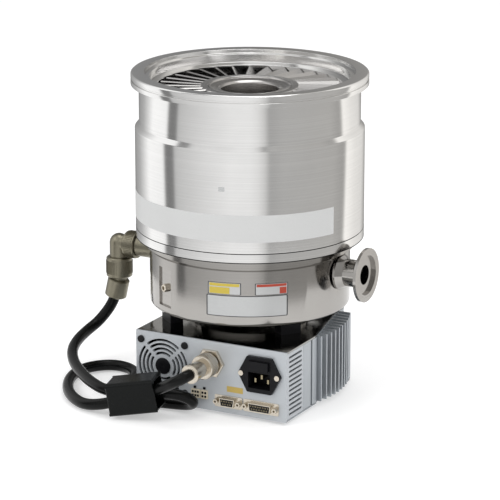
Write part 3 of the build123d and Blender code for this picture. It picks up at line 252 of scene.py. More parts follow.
SLOT_FINISHES = {
    "turned_steel": STEEL, "base_metal": BASE, "rotor_alloy": ROTOR, "shaft_steel": GROUND,
    "copper_core": WINDING, "panel_grey": PANEL, "sheet_steel": SHEET, "sink_alloy": SINK,
    "black_rubber": RUBBER, "black_plastic": PLASTIC, "screw_black": BLACK_OXIDE, "nickel": NICKEL,
    "bronze_plate": BRONZE, "ivory_plastic": IVORY, "pin_metal": SHADED_PIN_METAL, "board_green": BOARD,
    "component": MOULDED, "fuse_glass": GLASS, "cable_jacket": JACKET, "ferrite": FERRITE,
}


def centre(node: str) -> Vector:
    """Return the middle of a CAD node's box."""
    low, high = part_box(node)
    return (low + high) / 2


def finish_piece(obj: bpy.types.Object, body: Body, finish: Finish) -> bpy.types.Object:
    """Give a piece its finish and body.

    Args:
        obj: The piece, with its place in its mesh.
        body: The rigid body that carries it.
        finish: Surface finish, put on where the piece has none.

    Returns:
        The same piece.
    """
    if not obj.data.materials:
        obj.data.materials.append(finish.material())
    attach(obj, body.value)
    log.info("%s rides on %s", obj.name, body.value)
    return obj


def new_object(name: str, mesh: bpy.types.Mesh) -> bpy.types.Object:
    """Link a mesh to the scene as an object at the origin."""
    obj = bpy.data.objects.new(name, mesh)
    bpy.context.scene.collection.objects.link(obj)
    return obj


def from_bmesh(name: str, bm: bmesh.types.BMesh, smooth_degrees: float = 32.0) -> bpy.types.Object:
    """Turn a bmesh into an object with smooth faces and sharp corners.

    Args:
        name: Name of the piece.
        bm: The shape, freed here.
        smooth_degrees: Edges that turn more than this stay sharp.

    Returns:
        The new object.
    """
    bmesh.ops.remove_doubles(bm, verts=bm.verts, dist=1e-7)
    bmesh.ops.recalc_face_normals(bm, faces=bm.faces)
    for face in bm.faces:
        face.smooth = True
    for edge in bm.edges:
        if len(edge.link_faces) == 2:
            edge.smooth = edge.calc_face_angle(0.0) < math.radians(smooth_degrees)
    mesh = bpy.data.meshes.new(name)
    bm.to_mesh(mesh)
    bm.free()
    return new_object(name, mesh)


def lathe(name: str, profile: Sequence[Corner], steps: int = 256,
          place: Optional[Matrix] = None) -> bpy.types.Object:
    """Turn a closed outline about an axis.

    Args:
        name: Name of the piece.
        profile: Corners as (radius, height), in metres.
        steps: Facets in a full turn.
        place: Where the turning axis Z lies; the row's Z where left out.

    Returns:
        The turned piece.
    """
    bm = bmesh.new()
    rings = []
    for radius, height in profile:
        ring = []
        for step in range(steps if radius > 1e-6 else 1):
            angle = math.tau * step / steps
            ring.append(bm.verts.new((radius * math.cos(angle), radius * math.sin(angle), height)))
        rings.append(ring)
    for lower, upper in zip(rings, rings[1:] + rings[:1]):
        if len(lower) == 1 and len(upper) == 1:
            continue
        for step in range(steps):
            after = (step + 1) % steps
            corners = [lower[step % len(lower)], lower[after % len(lower)],
                       upper[after % len(upper)], upper[step % len(upper)]]
            bm.faces.new(list(dict.fromkeys(corners)))
    if place is not None:
        bm.transform(place)
    return from_bmesh(name, bm)


def rounded(profile: Sequence[Corner], radius: float, steps: int = 3) -> list[Corner]:
    """Round each corner of a closed outline.

    Args:
        profile: Corners of the outline.
        radius: Largest rounding, in metres.
        steps: Points on each rounding.

    Returns:
        The rounded outline.
    """
    points = [Vector(corner) for corner in profile]
    out = []
    for before, corner, after in zip(points[-1:] + points[:-1], points, points[1:] + points[:1]):
        to_before, to_after = before - corner, after - corner
        reach = min(radius, 0.4 * to_before.length, 0.4 * to_after.length)
        start, end = corner + to_before.normalized() * reach, corner + to_after.normalized() * reach
        for step in range(steps + 1):
            t = step / steps
            out.append(tuple(start * (1 - t) ** 2 + corner * 2 * t * (1 - t) + end * t ** 2))
    return out


def node_shape(node: str) -> bmesh.types.BMesh:
    """Copy a CAD node's mesh with its flat faces joined.

    Args:
        node: Name of the node.

    Returns:
        A bmesh, which the caller frees.
    """
    bm = bmesh.new()
    bm.from_mesh(frame["nodes"][node].data)
    bmesh.ops.remove_doubles(bm, verts=bm.verts, dist=1e-6)
    bmesh.ops.dissolve_limit(bm, angle_limit=math.radians(0.5), verts=bm.verts, edges=bm.edges)
    return bm


def plate_from_outline(name: str, outline: Sequence[Corner], low: float, high: float,
                       edge: float = 0.00025) -> bpy.types.Object:
    """Raise a flat outline to a sheet with fine rounded edges.

    Args:
        name: Name of the piece.
        outline: Corners in X and Y.
        low: Lowest Z.
        high: Highest Z.
        edge: Width of the rounded edges.

    Returns:
        The sheet.
    """
    bm = bmesh.new()
    bottom = [bm.verts.new((x, y, low)) for x, y in outline]
    top = [bm.verts.new((x, y, high)) for x, y in outline]
    bm.faces.new(bottom[::-1])
    bm.faces.new(top)
    for index, corner in enumerate(bottom):
        after = (index + 1) % len(bottom)
        bm.faces.new((corner, bottom[after], top[after], top[index]))
    bmesh.ops.bevel(bm, geom=bm.edges[:], offset=edge, segments=2, affect="EDGES")
    return from_bmesh(name, bm)


def facing(origin: Point, direction: Point) -> Matrix:
    """Return the place at a point whose Z looks along a direction."""
    turn = Vector((0, 0, 1)).rotation_difference(Vector(direction)).to_matrix().to_4x4()
    return Matrix.Translation(origin) @ turn


def block(name: str, low: Sequence[float], high: Sequence[float], edge: float = 0.0003) -> bpy.types.Object:
    """Make a block with rounded edges.

    Args:
        name: Name of the piece.
        low: Lowest corner, in metres.
        high: Highest corner, in metres.
        edge: Width of the rounded edges.

    Returns:
        The block.
    """
    bm = bmesh.new()
    bmesh.ops.create_cube(bm, size=1.0)
    size = Vector(high) - Vector(low)
    bm.transform(Matrix.Translation((Vector(low) + Vector(high)) / 2) @ Matrix.Diagonal((*size, 1.0)))
    bmesh.ops.bevel(bm, geom=bm.edges[:], offset=min(edge, min(size) * 0.3), segments=2, affect="EDGES")
    return from_bmesh(name, bm)


def curved_plate(name: str, radius: float, turns: tuple[float, float], heights: tuple[float, float],
                 thickness: float, corner: float) -> bpy.types.Object:
    """Wrap a thin plate with round corners about the pump axis.

    Args:
        name: Name of the piece.
        radius: Radius of the surface that it lies on.
        turns: First and last angle about the axis, in degrees.
        heights: Lowest and highest Z.
        thickness: How far it stands proud.
        corner: Corner radius.

    Returns:
        The plate.
    """
    width = radius * math.radians(turns[1] - turns[0])
    tall = heights[1] - heights[0]
    columns = max(24, int(abs(turns[1] - turns[0])))
    bm = bmesh.new()
    rows = []
    for depth in (radius + 0.00003, radius + thickness):
        row = []
        for column in range(columns + 1):
            ease = 0.5 - 0.5 * math.cos(math.pi * column / columns)
            along = width * ease
            near = max(0.0, corner - min(along, width - along))
            drop = corner - math.sqrt(max(0.0, corner ** 2 - near ** 2)) if corner else 0.0
            angle = math.radians(turns[0]) + along / radius
            for height in (heights[0] + drop, heights[0] + tall / 2, heights[1] - drop):
                row.append(bm.verts.new((depth * math.cos(angle), depth * math.sin(angle), height)))
        rows.append(row)
    for column in range(columns):
        for band in (0, 1):
            a = 3 * column + band
            corners = (a, a + 3, a + 4, a + 1)
            bm.faces.new([rows[1][i] for i in corners])
            bm.faces.new([rows[0][i] for i in reversed(corners)])
    edge_loop = [3 * c for c in range(columns + 1)] + [3 * columns + 1]
    edge_loop += [3 * c + 2 for c in range(columns, -1, -1)] + [1]
    for first, second in zip(edge_loop, edge_loop[1:] + edge_loop[:1]):
        bm.faces.new([rows[0][first], rows[0][second], rows[1][second], rows[1][first]])
    return from_bmesh(name, bm)


class Repeat:
    """Geometry Nodes patterns that set copies of one small piece on a ring or a grid."""

    def __init__(self) -> None:
        """Start with no tree built."""
        self._trees: dict[str, bpy.types.NodeTree] = {}

    def _tree(self, kind: str) -> bpy.types.NodeTree:
        """Build the tree of one pattern, once.

        Args:
            kind: Either ring or grid.

        Returns:
            The node tree, with named inputs.
        """
        if kind in self._trees:
            return self._trees[kind]
        tree = bpy.data.node_groups.new(f"{kind}_pattern", "GeometryNodeTree")
        face = tree.interface
        face.new_socket("Piece", in_out="INPUT", socket_type="NodeSocketObject")
        face.new_socket("Finish", in_out="INPUT", socket_type="NodeSocketMaterial")
        face.new_socket("Count", in_out="INPUT", socket_type="NodeSocketInt")
        face.new_socket("Rows", in_out="INPUT", socket_type="NodeSocketInt")
        face.new_socket("Reach", in_out="INPUT", socket_type="NodeSocketFloat")
        face.new_socket("Row Reach", in_out="INPUT", socket_type="NodeSocketFloat")
        face.new_socket("Geometry", in_out="OUTPUT", socket_type="NodeSocketGeometry")
        nodes, links = tree.nodes, tree.links
        given = nodes.new("NodeGroupInput")
        info = nodes.new("GeometryNodeObjectInfo")
        links.new(given.outputs["Piece"], info.inputs["Object"])
        place = nodes.new("GeometryNodeInstanceOnPoints")
        if kind == "ring":
            points = nodes.new("GeometryNodeMeshCircle")
            links.new(given.outputs["Count"], points.inputs["Vertices"])
            links.new(given.outputs["Reach"], points.inputs["Radius"])
            index = nodes.new("GeometryNodeInputIndex")
            share = nodes.new("ShaderNodeMath")
            share.operation = "DIVIDE"
            links.new(index.outputs["Index"], share.inputs[0])
            links.new(given.outputs["Count"], share.inputs[1])
            turn = nodes.new("ShaderNodeMath")
            turn.operation = "MULTIPLY"
            turn.inputs[1].default_value = math.tau
            links.new(share.outputs["Value"], turn.inputs[0])
            euler = nodes.new("ShaderNodeCombineXYZ")
            links.new(turn.outputs["Value"], euler.inputs["Z"])
            links.new(euler.outputs["Vector"], place.inputs["Rotation"])
            links.new(points.outputs["Mesh"], place.inputs["Points"])
        else:
            points = nodes.new("GeometryNodeMeshGrid")
            links.new(given.outputs["Reach"], points.inputs["Size X"])
            links.new(given.outputs["Row Reach"], points.inputs["Size Y"])
            links.new(given.outputs["Count"], points.inputs["Vertices X"])
            links.new(given.outputs["Rows"], points.inputs["Vertices Y"])
            links.new(points.outputs["Mesh"], place.inputs["Points"])
        links.new(info.outputs["Geometry"], place.inputs["Instance"])
        real = nodes.new("GeometryNodeRealizeInstances")
        links.new(place.outputs["Instances"], real.inputs["Geometry"])
        coat = nodes.new("GeometryNodeSetMaterial")
        links.new(real.outputs["Geometry"], coat.inputs["Geometry"])
        links.new(given.outputs["Finish"], coat.inputs["Material"])
        result = nodes.new("NodeGroupOutput")
        links.new(coat.outputs["Geometry"], result.inputs["Geometry"])
        self._trees[kind] = tree
        return tree

    def make(self, name: str, kind: str, piece: bpy.types.Object, finish: Finish, count: int, reach: float,
             place: Matrix, rows: int = 1, row_reach: float = 0.0) -> bpy.types.Object:
        """Set copies of a piece and return them as one plain mesh.

        Args:
            name: Name of the new piece.
            kind: Either ring or grid.
            piece: What is copied; it is removed afterwards.
            finish: Finish of the copies.
            count: Copies on the ring or in a row.
            reach: Ring radius, or length of a row.
            place: Where the pattern's plane lies.
            rows: Rows of a grid.
            row_reach: Distance between the first and last row.

        Returns:
            The copies as one object.
        """
        carrier = new_object(name + "_pattern", bpy.data.meshes.new(name + "_pattern"))
        tree = self._tree(kind)
        modifier = carrier.modifiers.new("pattern", "NODES")
        modifier.node_group = tree
        values = {"Piece": piece, "Finish": finish.material(), "Count": count, "Rows": rows,
                  "Reach": float(reach), "Row Reach": float(row_reach)}
        for item in tree.interface.items_tree:
            if item.in_out == "INPUT":
                modifier[item.identifier] = values[item.name]
        carrier.update_tag()
        graph = bpy.context.evaluated_depsgraph_get()
        mesh = bpy.data.meshes.new_from_object(carrier.evaluated_get(graph), depsgraph=graph)
        carrier.modifiers.remove(modifier)
        bpy.data.objects.remove(carrier)
        bpy.data.objects.remove(piece)
        mesh.transform(place)
        mesh.name = name
        if not mesh.materials:
            mesh.materials.append(finish.material())
        return new_object(name, mesh)


REPEAT = Repeat()


def seam_tree() -> bpy.types.NodeTree:
    """Build the tree that joins a CAD node's triangles and shades its curves smooth.

    Returns:
        The node tree.
    """
    tree = bpy.data.node_groups.new("smooth_curves", "GeometryNodeTree")
    tree.interface.new_socket("Geometry", in_out="INPUT", socket_type="NodeSocketGeometry")
    tree.interface.new_socket("Geometry", in_out="OUTPUT", socket_type="NodeSocketGeometry")
    nodes, links = tree.nodes, tree.links
    given, result = nodes.new("NodeGroupInput"), nodes.new("NodeGroupOutput")
    merge = nodes.new("GeometryNodeMergeByDistance")
    merge.inputs["Distance"].default_value = 1e-6
    smooth = nodes.new("GeometryNodeSetShadeSmooth")
    angle = nodes.new("GeometryNodeInputMeshEdgeAngle")
    small = nodes.new("FunctionNodeCompare")
    small.operation = "LESS_THAN"
    small.inputs["B"].default_value = math.radians(28)
    edges = nodes.new("GeometryNodeSetShadeSmooth")
    edges.domain = "EDGE"
    links.new(given.outputs["Geometry"], merge.inputs["Geometry"])
    links.new(merge.outputs["Geometry"], smooth.inputs["Geometry"])
    links.new(smooth.outputs["Geometry"], edges.inputs["Geometry"])
    links.new(angle.outputs["Unsigned Angle"], small.inputs["A"])
    links.new(small.outputs["Result"], edges.inputs["Shade Smooth"])
    links.new(edges.outputs["Geometry"], result.inputs["Geometry"])
    return tree


@dataclass
class Frame:
    """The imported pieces, each with the finish of its slot."""

    finishes: dict[str, Finish] = field(default_factory=lambda: dict(SLOT_FINISHES))

    def dress(self) -> None:
        """Put a finish and smooth shading on every CAD node."""
        tree = seam_tree()
        slots = {entry["node"]: entry["material_slot"] for entry in frame["record"]["subparts"]}
        for name, obj in frame["nodes"].items():
            material = self.finishes[slots[name]].material()
            if obj.material_slots:
                for material_slot in obj.material_slots:
                    material_slot.material = material
            else:
                obj.data.materials.append(material)
            modifier = obj.modifiers.new("smooth_curves", "NODES")
            modifier.node_group = tree
            log.info("%s dressed as %s", name, slots[name])


@dataclass
class Studio:
    """Floor, lights, round reflecting screen and camera."""

    focal_mm: float = 201.63
    eye: Point = (1.2859, -2.4381, 0.5900)
    target: Point = (0.0001, 0.00005, -0.18742)
    ambient: float = 0.62
    screen_radius: float = 0.42
    screen_top: float = 0.9
    warmth: float = 0.05
    bands: tuple[Corner, ...] = (
        (-180, 0.22), (-150, 0.30), (-128, 0.50), (-118, 0.75), (-106, 1.15), (-84, 1.10), (-81, 0.22),
        (-72, 0.24), (-69, 0.62), (-40, 0.82), (-17, 0.96), (0, 0.96), (7, 0.88), (13, 0.70), (17, 0.44),
        (28, 0.50), (80, 0.50), (93, 0.42), (96, 0.50), (99, 1.15), (114, 0.95), (135, 0.8), (150, 0.36),
        (179, 0.22),
    )

    def build(self) -> None:
        """Make the whole studio."""
        self._camera()
        self._world()
        self._floor()
        self._lamp("key", (-1.3, -1.9, 1.7), 1.6, 26.0)
        self._lamp("fill", (2.1, -0.9, 0.9), 1.4, 12.0)
        self._lamp("top", (0.1, 0.5, 2.2), 1.8, 20.0)
        self._screen()
        bpy.context.scene.view_settings.view_transform = "Standard"

    def _camera(self) -> None:
        """Set the camera at the viewing angle."""
        camera = bpy.data.cameras.new("camera")
        camera.lens = self.focal_mm
        camera.clip_end = 50.0
        obj = bpy.data.objects.new("camera", camera)
        bpy.context.scene.collection.objects.link(obj)
        obj.location = self.eye
        look = Vector(self.target) - Vector(self.eye)
        obj.rotation_euler = look.to_track_quat("-Z", "Y").to_euler()
        bpy.context.scene.camera = obj

    def _seen(self, nodes: bpy.types.Nodes, links: bpy.types.NodeLinks) -> bpy.types.NodeSocket:
        """Return a socket that is 1 for rays from the camera, a mirror or glass."""
        path = nodes.new("ShaderNodeLightPath")
        total = path.outputs["Is Camera Ray"]
        for name in ("Is Glossy Ray", "Is Transmission Ray"):
            either = nodes.new("ShaderNodeMath")
            either.operation = "MAXIMUM"
            links.new(total, either.inputs[0])
            links.new(path.outputs[name], either.inputs[1])
            total = either.outputs["Value"]
        return total

    def _world(self) -> None:
        """Light from all round, white where it is seen."""
        world = bpy.data.worlds.new("studio")
        world.use_nodes = True
        nodes, links = world.node_tree.nodes, world.node_tree.links
        back = nodes["Background"]
        back.inputs["Color"].default_value = (1, 1, 1, 1)
        level = nodes.new("ShaderNodeMapRange")
        level.inputs["To Min"].default_value = self.ambient
        level.inputs["To Max"].default_value = 1.0
        links.new(self._seen(nodes, links), level.inputs["Value"])
        links.new(level.outputs["Result"], back.inputs["Strength"])
        bpy.context.scene.world = world

    def _floor(self) -> None:
        """Make the white floor, which keeps the shadow."""
        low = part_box("unit_feet")[0].z
        bm = bmesh.new()
        bmesh.ops.create_grid(bm, x_segments=1, y_segments=1, size=12.0)
        bm.transform(Matrix.Translation((0, 0, low - 0.0002)))
        floor = from_bmesh("floor", bm)
        material = bpy.data.materials.new("floor")
        material.use_nodes = True
        nodes, links = material.node_tree.nodes, material.node_tree.links
        shader = nodes["Principled BSDF"]
        shader.inputs["Base Color"].default_value = (0.72, 0.72, 0.72, 1)
        shader.inputs["Roughness"].default_value = 0.7
        shader.inputs["Specular IOR Level"].default_value = 0.2
        shader.inputs["Emission Color"].default_value = (1, 1, 1, 1)
        glow = nodes.new("ShaderNodeMath")
        glow.operation = "MULTIPLY"
        glow.inputs[1].default_value = 0.42
        links.new(self._seen(nodes, links), glow.inputs[0])
        links.new(glow.outputs["Value"], shader.inputs["Emission Strength"])
        floor.data.materials.append(material)

    def _lamp(self, name: str, place: Point, size: float, watts: float) -> None:
        """Hang a square lamp that points at the object."""
        lamp = bpy.data.lights.new(name, "AREA")
        lamp.size = size
        lamp.energy = watts
        obj = bpy.data.objects.new(name, lamp)
        bpy.context.scene.collection.objects.link(obj)
        obj.location = place
        look = Vector((0, 0, -0.18)) - Vector(place)
        obj.rotation_euler = look.to_track_quat("-Z", "Y").to_euler()

    def _screen(self) -> None:
        """Stand a round screen of bright and dark bands that only mirrors show."""
        base = math.atan2(self.eye[1], self.eye[0])
        bm = bmesh.new()
        steps = 180
        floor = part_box("unit_feet")[0].z
        rows = []
        for step in range(steps):
            angle = base + math.tau * step / steps
            x, y = self.screen_radius * math.cos(angle), self.screen_radius * math.sin(angle)
            rows.append([bm.verts.new((x, y, z)) for z in (floor, self.screen_top)])
        for before, after in zip(rows, rows[1:] + rows[:1]):
            bm.faces.new((before[0], after[0], after[1], before[1]))
        screen = from_bmesh("mirror_screen", bm)
        material = bpy.data.materials.new("mirror_screen")
        material.use_nodes = True
        nodes, links = material.node_tree.nodes, material.node_tree.links
        place = nodes.new("ShaderNodeTexCoord")
        turn = nodes.new("ShaderNodeVectorRotate")
        turn.rotation_type = "Z_AXIS"
        turn.inputs["Angle"].default_value = -base
        split = nodes.new("ShaderNodeSeparateXYZ")
        bearing = nodes.new("ShaderNodeMath")
        bearing.operation = "ARCTAN2"
        share = nodes.new("ShaderNodeMapRange")
        share.inputs["From Min"].default_value = -math.pi
        share.inputs["From Max"].default_value = math.pi
        ramp = nodes.new("ShaderNodeValToRGB")
        links.new(place.outputs["Object"], turn.inputs["Vector"])
        links.new(turn.outputs["Vector"], split.inputs["Vector"])
        links.new(split.outputs["Y"], bearing.inputs[0])
        links.new(split.outputs["X"], bearing.inputs[1])
        links.new(bearing.outputs["Value"], share.inputs["Value"])
        links.new(share.outputs["Result"], ramp.inputs["Fac"])
        stops = ramp.color_ramp.elements
        for index, (degrees, level) in enumerate(self.bands):
            where = (degrees + 180.0) / 360.0
            stop = stops[index] if index < 2 else stops.new(where)
            stop.position = where
            warm = self.warmth * max(0.0, min(1.0, degrees / 60.0))
            stop.color = (level, level * (1 - 0.4 * warm), level * (1 - warm), 1)
        glow = nodes.new("ShaderNodeEmission")
        links.new(ramp.outputs["Color"], glow.inputs["Color"])
        links.new(glow.outputs["Emission"], nodes["Material Output"].inputs["Surface"])
        screen.data.materials.append(material)
        screen.visible_camera = False
        screen.visible_diffuse = False
        screen.visible_shadow = False
        screen.visible_transmission = False


@dataclass
class MotorLead:
    """The lead from the elbow connector, through the ferrite block, to the panel plug.

    Attributes:
        radius: Half the thickness of the jacket.
        length: Real length; not used.
        block_edge: Rounding of the ferrite block's edges.
        mouth: Where the lead leaves the elbow connector's clamp, as in the route; not used.
        route: Control points of the smooth line, heights from the floor, in millimetres.
    """

    radius: float = 0.0057
    length: float = 0.821
    block_edge: float = 0.0028
    mouth: Point = (-158.37, 0, 75.88)
    route: tuple[Point, ...] = (
        (-158.37, 0, 75.88), (-161.52, 0, 62.24), (-173, -11, 42), (-178, -30, 35), (-176, -54, 31),
        (-168, -77, 28), (-153, -99, 25), (-132, -121, 23.5), (-106, -143, 22.5), (-78, -158, 21.5),
        (-48, -151, 23.5), (-24, -145, 24), (-9, -141.5, 24.5), (2, -136.5, 21), (5, -129, 14),
        (-3, -122.5, 8.5), (-16, -120.5, 6.3), (-32, -122, 5.9), (-48, -125.5, 5.9), (-66, -129, 5.9),
        (-83, -126, 5.9), (-95, -112, 5.9), (-98, -93, 5.9), (-98, -73, 5.9), (-104, -55, 5.9),
        (-119, -42, 5.9), (-138, -39, 5.9), (-154, -50, 5.9), (-162, -69, 5.9), (-160, -91, 5.9),
        (-151, -114, 5.9), (-137, -136, 5.9), (-119, -154, 5.9), (-98, -166, 6.3), (-73, -168, 12),
        (-48, -163, 22), (-22, -158.5, 31.5), (-8, -162, 39), (4, -166, 46), (13, -164.5, 51),
        (16, -157.9, 53), (16, -153.9, 53),
    )

    def build(self) -> None:
        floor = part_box("unit_feet")[0].z
        curve = bpy.data.curves.new("motor_lead", "CURVE")
        curve.dimensions = "3D"
        spline = curve.splines.new("NURBS")
        spline.points.add(len(self.route) - 1)
        for point, (x, y, up) in zip(spline.points, self.route):
            point.co = (x * MM, y * MM, floor + up * MM, 1.0)
        spline.order_u = 3
        spline.use_endpoint_u = True
        spline.resolution_u = 12
        curve.bevel_depth = self.radius
        curve.bevel_resolution = 8
        curve.use_fill_caps = True
        lead = bpy.data.objects.new("motor_lead", curve)
        bpy.context.scene.collection.objects.link(lead)
        finish_piece(lead, Body.PUMP, JACKET)
        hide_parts("motor_cable")
        block_piece = self._ferrite()

    def _ferrite(self) -> bpy.types.Object:
        """Round the edges of the ferrite block, which the lead passes twice.

        Returns:
            The block.
        """
        bm = node_shape("ferrite_block")
        axes: list[Vector] = []
        for face in sorted(bm.faces, key=lambda one: -one.calc_area()):
            if all(abs(face.normal.dot(axis)) < 0.3 for axis in axes):
                axes.append(face.normal.copy())
        spans = []
        for axis in axes:
            along = [vert.co.dot(axis) for vert in bm.verts]
            spans.append((axis, min(along), max(along)))
        outer = []
        for edge in bm.edges:
            sides = sum(
                1 for axis, low, high in spans
                if any(all(abs(vert.co.dot(axis) - end) < 1e-4 for vert in edge.verts) for end in (low, high))
            )
            if sides >= 2:
                outer.append(edge)
        bmesh.ops.bevel(bm, geom=outer, offset=self.block_edge, segments=4, profile=0.5, affect="EDGES")
        piece = finish_piece(from_bmesh("ferrite_core", bm, 50.0), Body.PUMP, FERRITE)
        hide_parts("ferrite_block")
        return piece


@dataclass
class Casing:
    """Turned casing, its films and the housing's plates."""

    flange_radius: float = 0.120
    recess_radius: float = 0.1065
    throat_radius: float = 0.101
    ledge_radius: float = 0.0935
    neck_radius: float = 0.112
    body_radius: float = 0.1162
    film: float = 0.00018
    # Height of the thin black rings at the clamp ring's edges, which carry painted shadow.
    joint_and_shade: float = 0.0006

    def build(self) -> None:
        """Make the shell and the plates."""
        self._shell()
        radius = 0.1025
        pieces = (
            ("casing_band", self.body_radius, (-158.0, -16.8), (-0.1475, -0.1201), 0.0004, WHITE_FILM),
            ("name_plate", radius, (-87.0, -40.7), (-0.2278, -0.2060), 0.0012, DARK_INK),
            ("yellow_plate", radius, (-86.1, -67.1), (-0.2053, -0.1929), 0.0008, DARK_INK),
            ("red_plate", radius, (-59.4, -40.6), (-0.2053, -0.1933), 0.0008, DARK_INK),
        )
        for name, on, turns, heights, corner, finish in pieces:
            plate = curved_plate(name, on, turns, heights, self.film, corner)
            finish_piece(plate, Body.PUMP, finish)
        insets = (
            ("name_plate_face", (-86.3, -41.4), (-0.2270, -0.2068), 0.0009, SILVER_PLATE),
            ("yellow_plate_face", (-85.6, -67.6), (-0.2048, -0.1934), 0.0006, SILVER_PLATE),
            ("red_plate_face", (-58.9, -41.1), (-0.2048, -0.1938), 0.0006, SILVER_PLATE),
        )
        for name, turns, heights, corner, finish in insets:
            face = curved_plate(name, radius + self.film, turns, heights, self.film / 2, corner)
            finish_piece(face, Body.PUMP, finish)
        bars = (
            ("yellow_bar_top", (-85.2, -68.0), (-0.1968, -0.1938), YELLOW_FILM),
            ("yellow_bar_bottom", (-85.2, -73.5), (-0.2044, -0.1978), YELLOW_FILM),
            ("red_bar_top", (-58.5, -41.5), (-0.1968, -0.1942), RED_FILM),
            ("red_bar_side", (-45.5, -41.5), (-0.2044, -0.1978), RED_FILM),
        )
        for name, turns, heights, finish in bars:
            bar = curved_plate(name, radius + 1.5 * self.film, turns, heights, self.film / 2, 0.0002)
            finish_piece(bar, Body.PUMP, finish)
        # Thin black rings at the clamp ring's upper and lower edges: partly the real joint lines, partly
        # painted shadow under the ring's lower edge. They take the black rubber finish only for its colour.
        inside, outside = self.body_radius - 0.001, self.body_radius + 0.00008
        for name, height in (("seam_upper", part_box("clamp_ring")[1].z),
                             ("seam_lower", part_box("clamp_ring")[0].z)):
            under, over = height - self.joint_and_shade / 2, height + self.joint_and_shade / 2
            outline = [(inside, under), (outside, under), (outside, over), (inside, over)]
            joint_and_shade = lathe(name, outline, 192)
            finish_piece(joint_and_shade, Body.PUMP, RUBBER)
        mark = curved_plate("casing_mark", self.body_radius, (-77.6, -74.6), (-0.0965, -0.0920),
                            self.film, 0.0005)
        finish_piece(mark, Body.PUMP, SILVER_PLATE)

    def _shell(self) -> None:
        """Turn the casing with fine rounded edges in place of the CAD casing."""
        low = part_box("inlet_envelope")[0].z
        outline = [
            (self.recess_radius, 0), (0.1187, 0), (self.flange_radius, -0.0013),
            (self.flange_radius, -0.0055),
            (0.1182, -0.0055), (0.1182, -0.0075), (self.flange_radius, -0.0075), (self.flange_radius, -0.012),
            (self.neck_radius, -0.012), (self.neck_radius, -0.0518), (self.body_radius, -0.0565),
            (self.body_radius, low), (0.108, low), (0.108, -0.022), (self.ledge_radius, -0.022),
            (self.ledge_radius, -0.014), (self.throat_radius, -0.0125), (self.throat_radius, -0.004),
            (self.recess_radius, -0.004),
        ]
        shell = lathe("casing_shell", rounded(outline, 0.0004), 288)
        finish_piece(shell, Body.PUMP, STEEL)
        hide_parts("inlet_envelope")


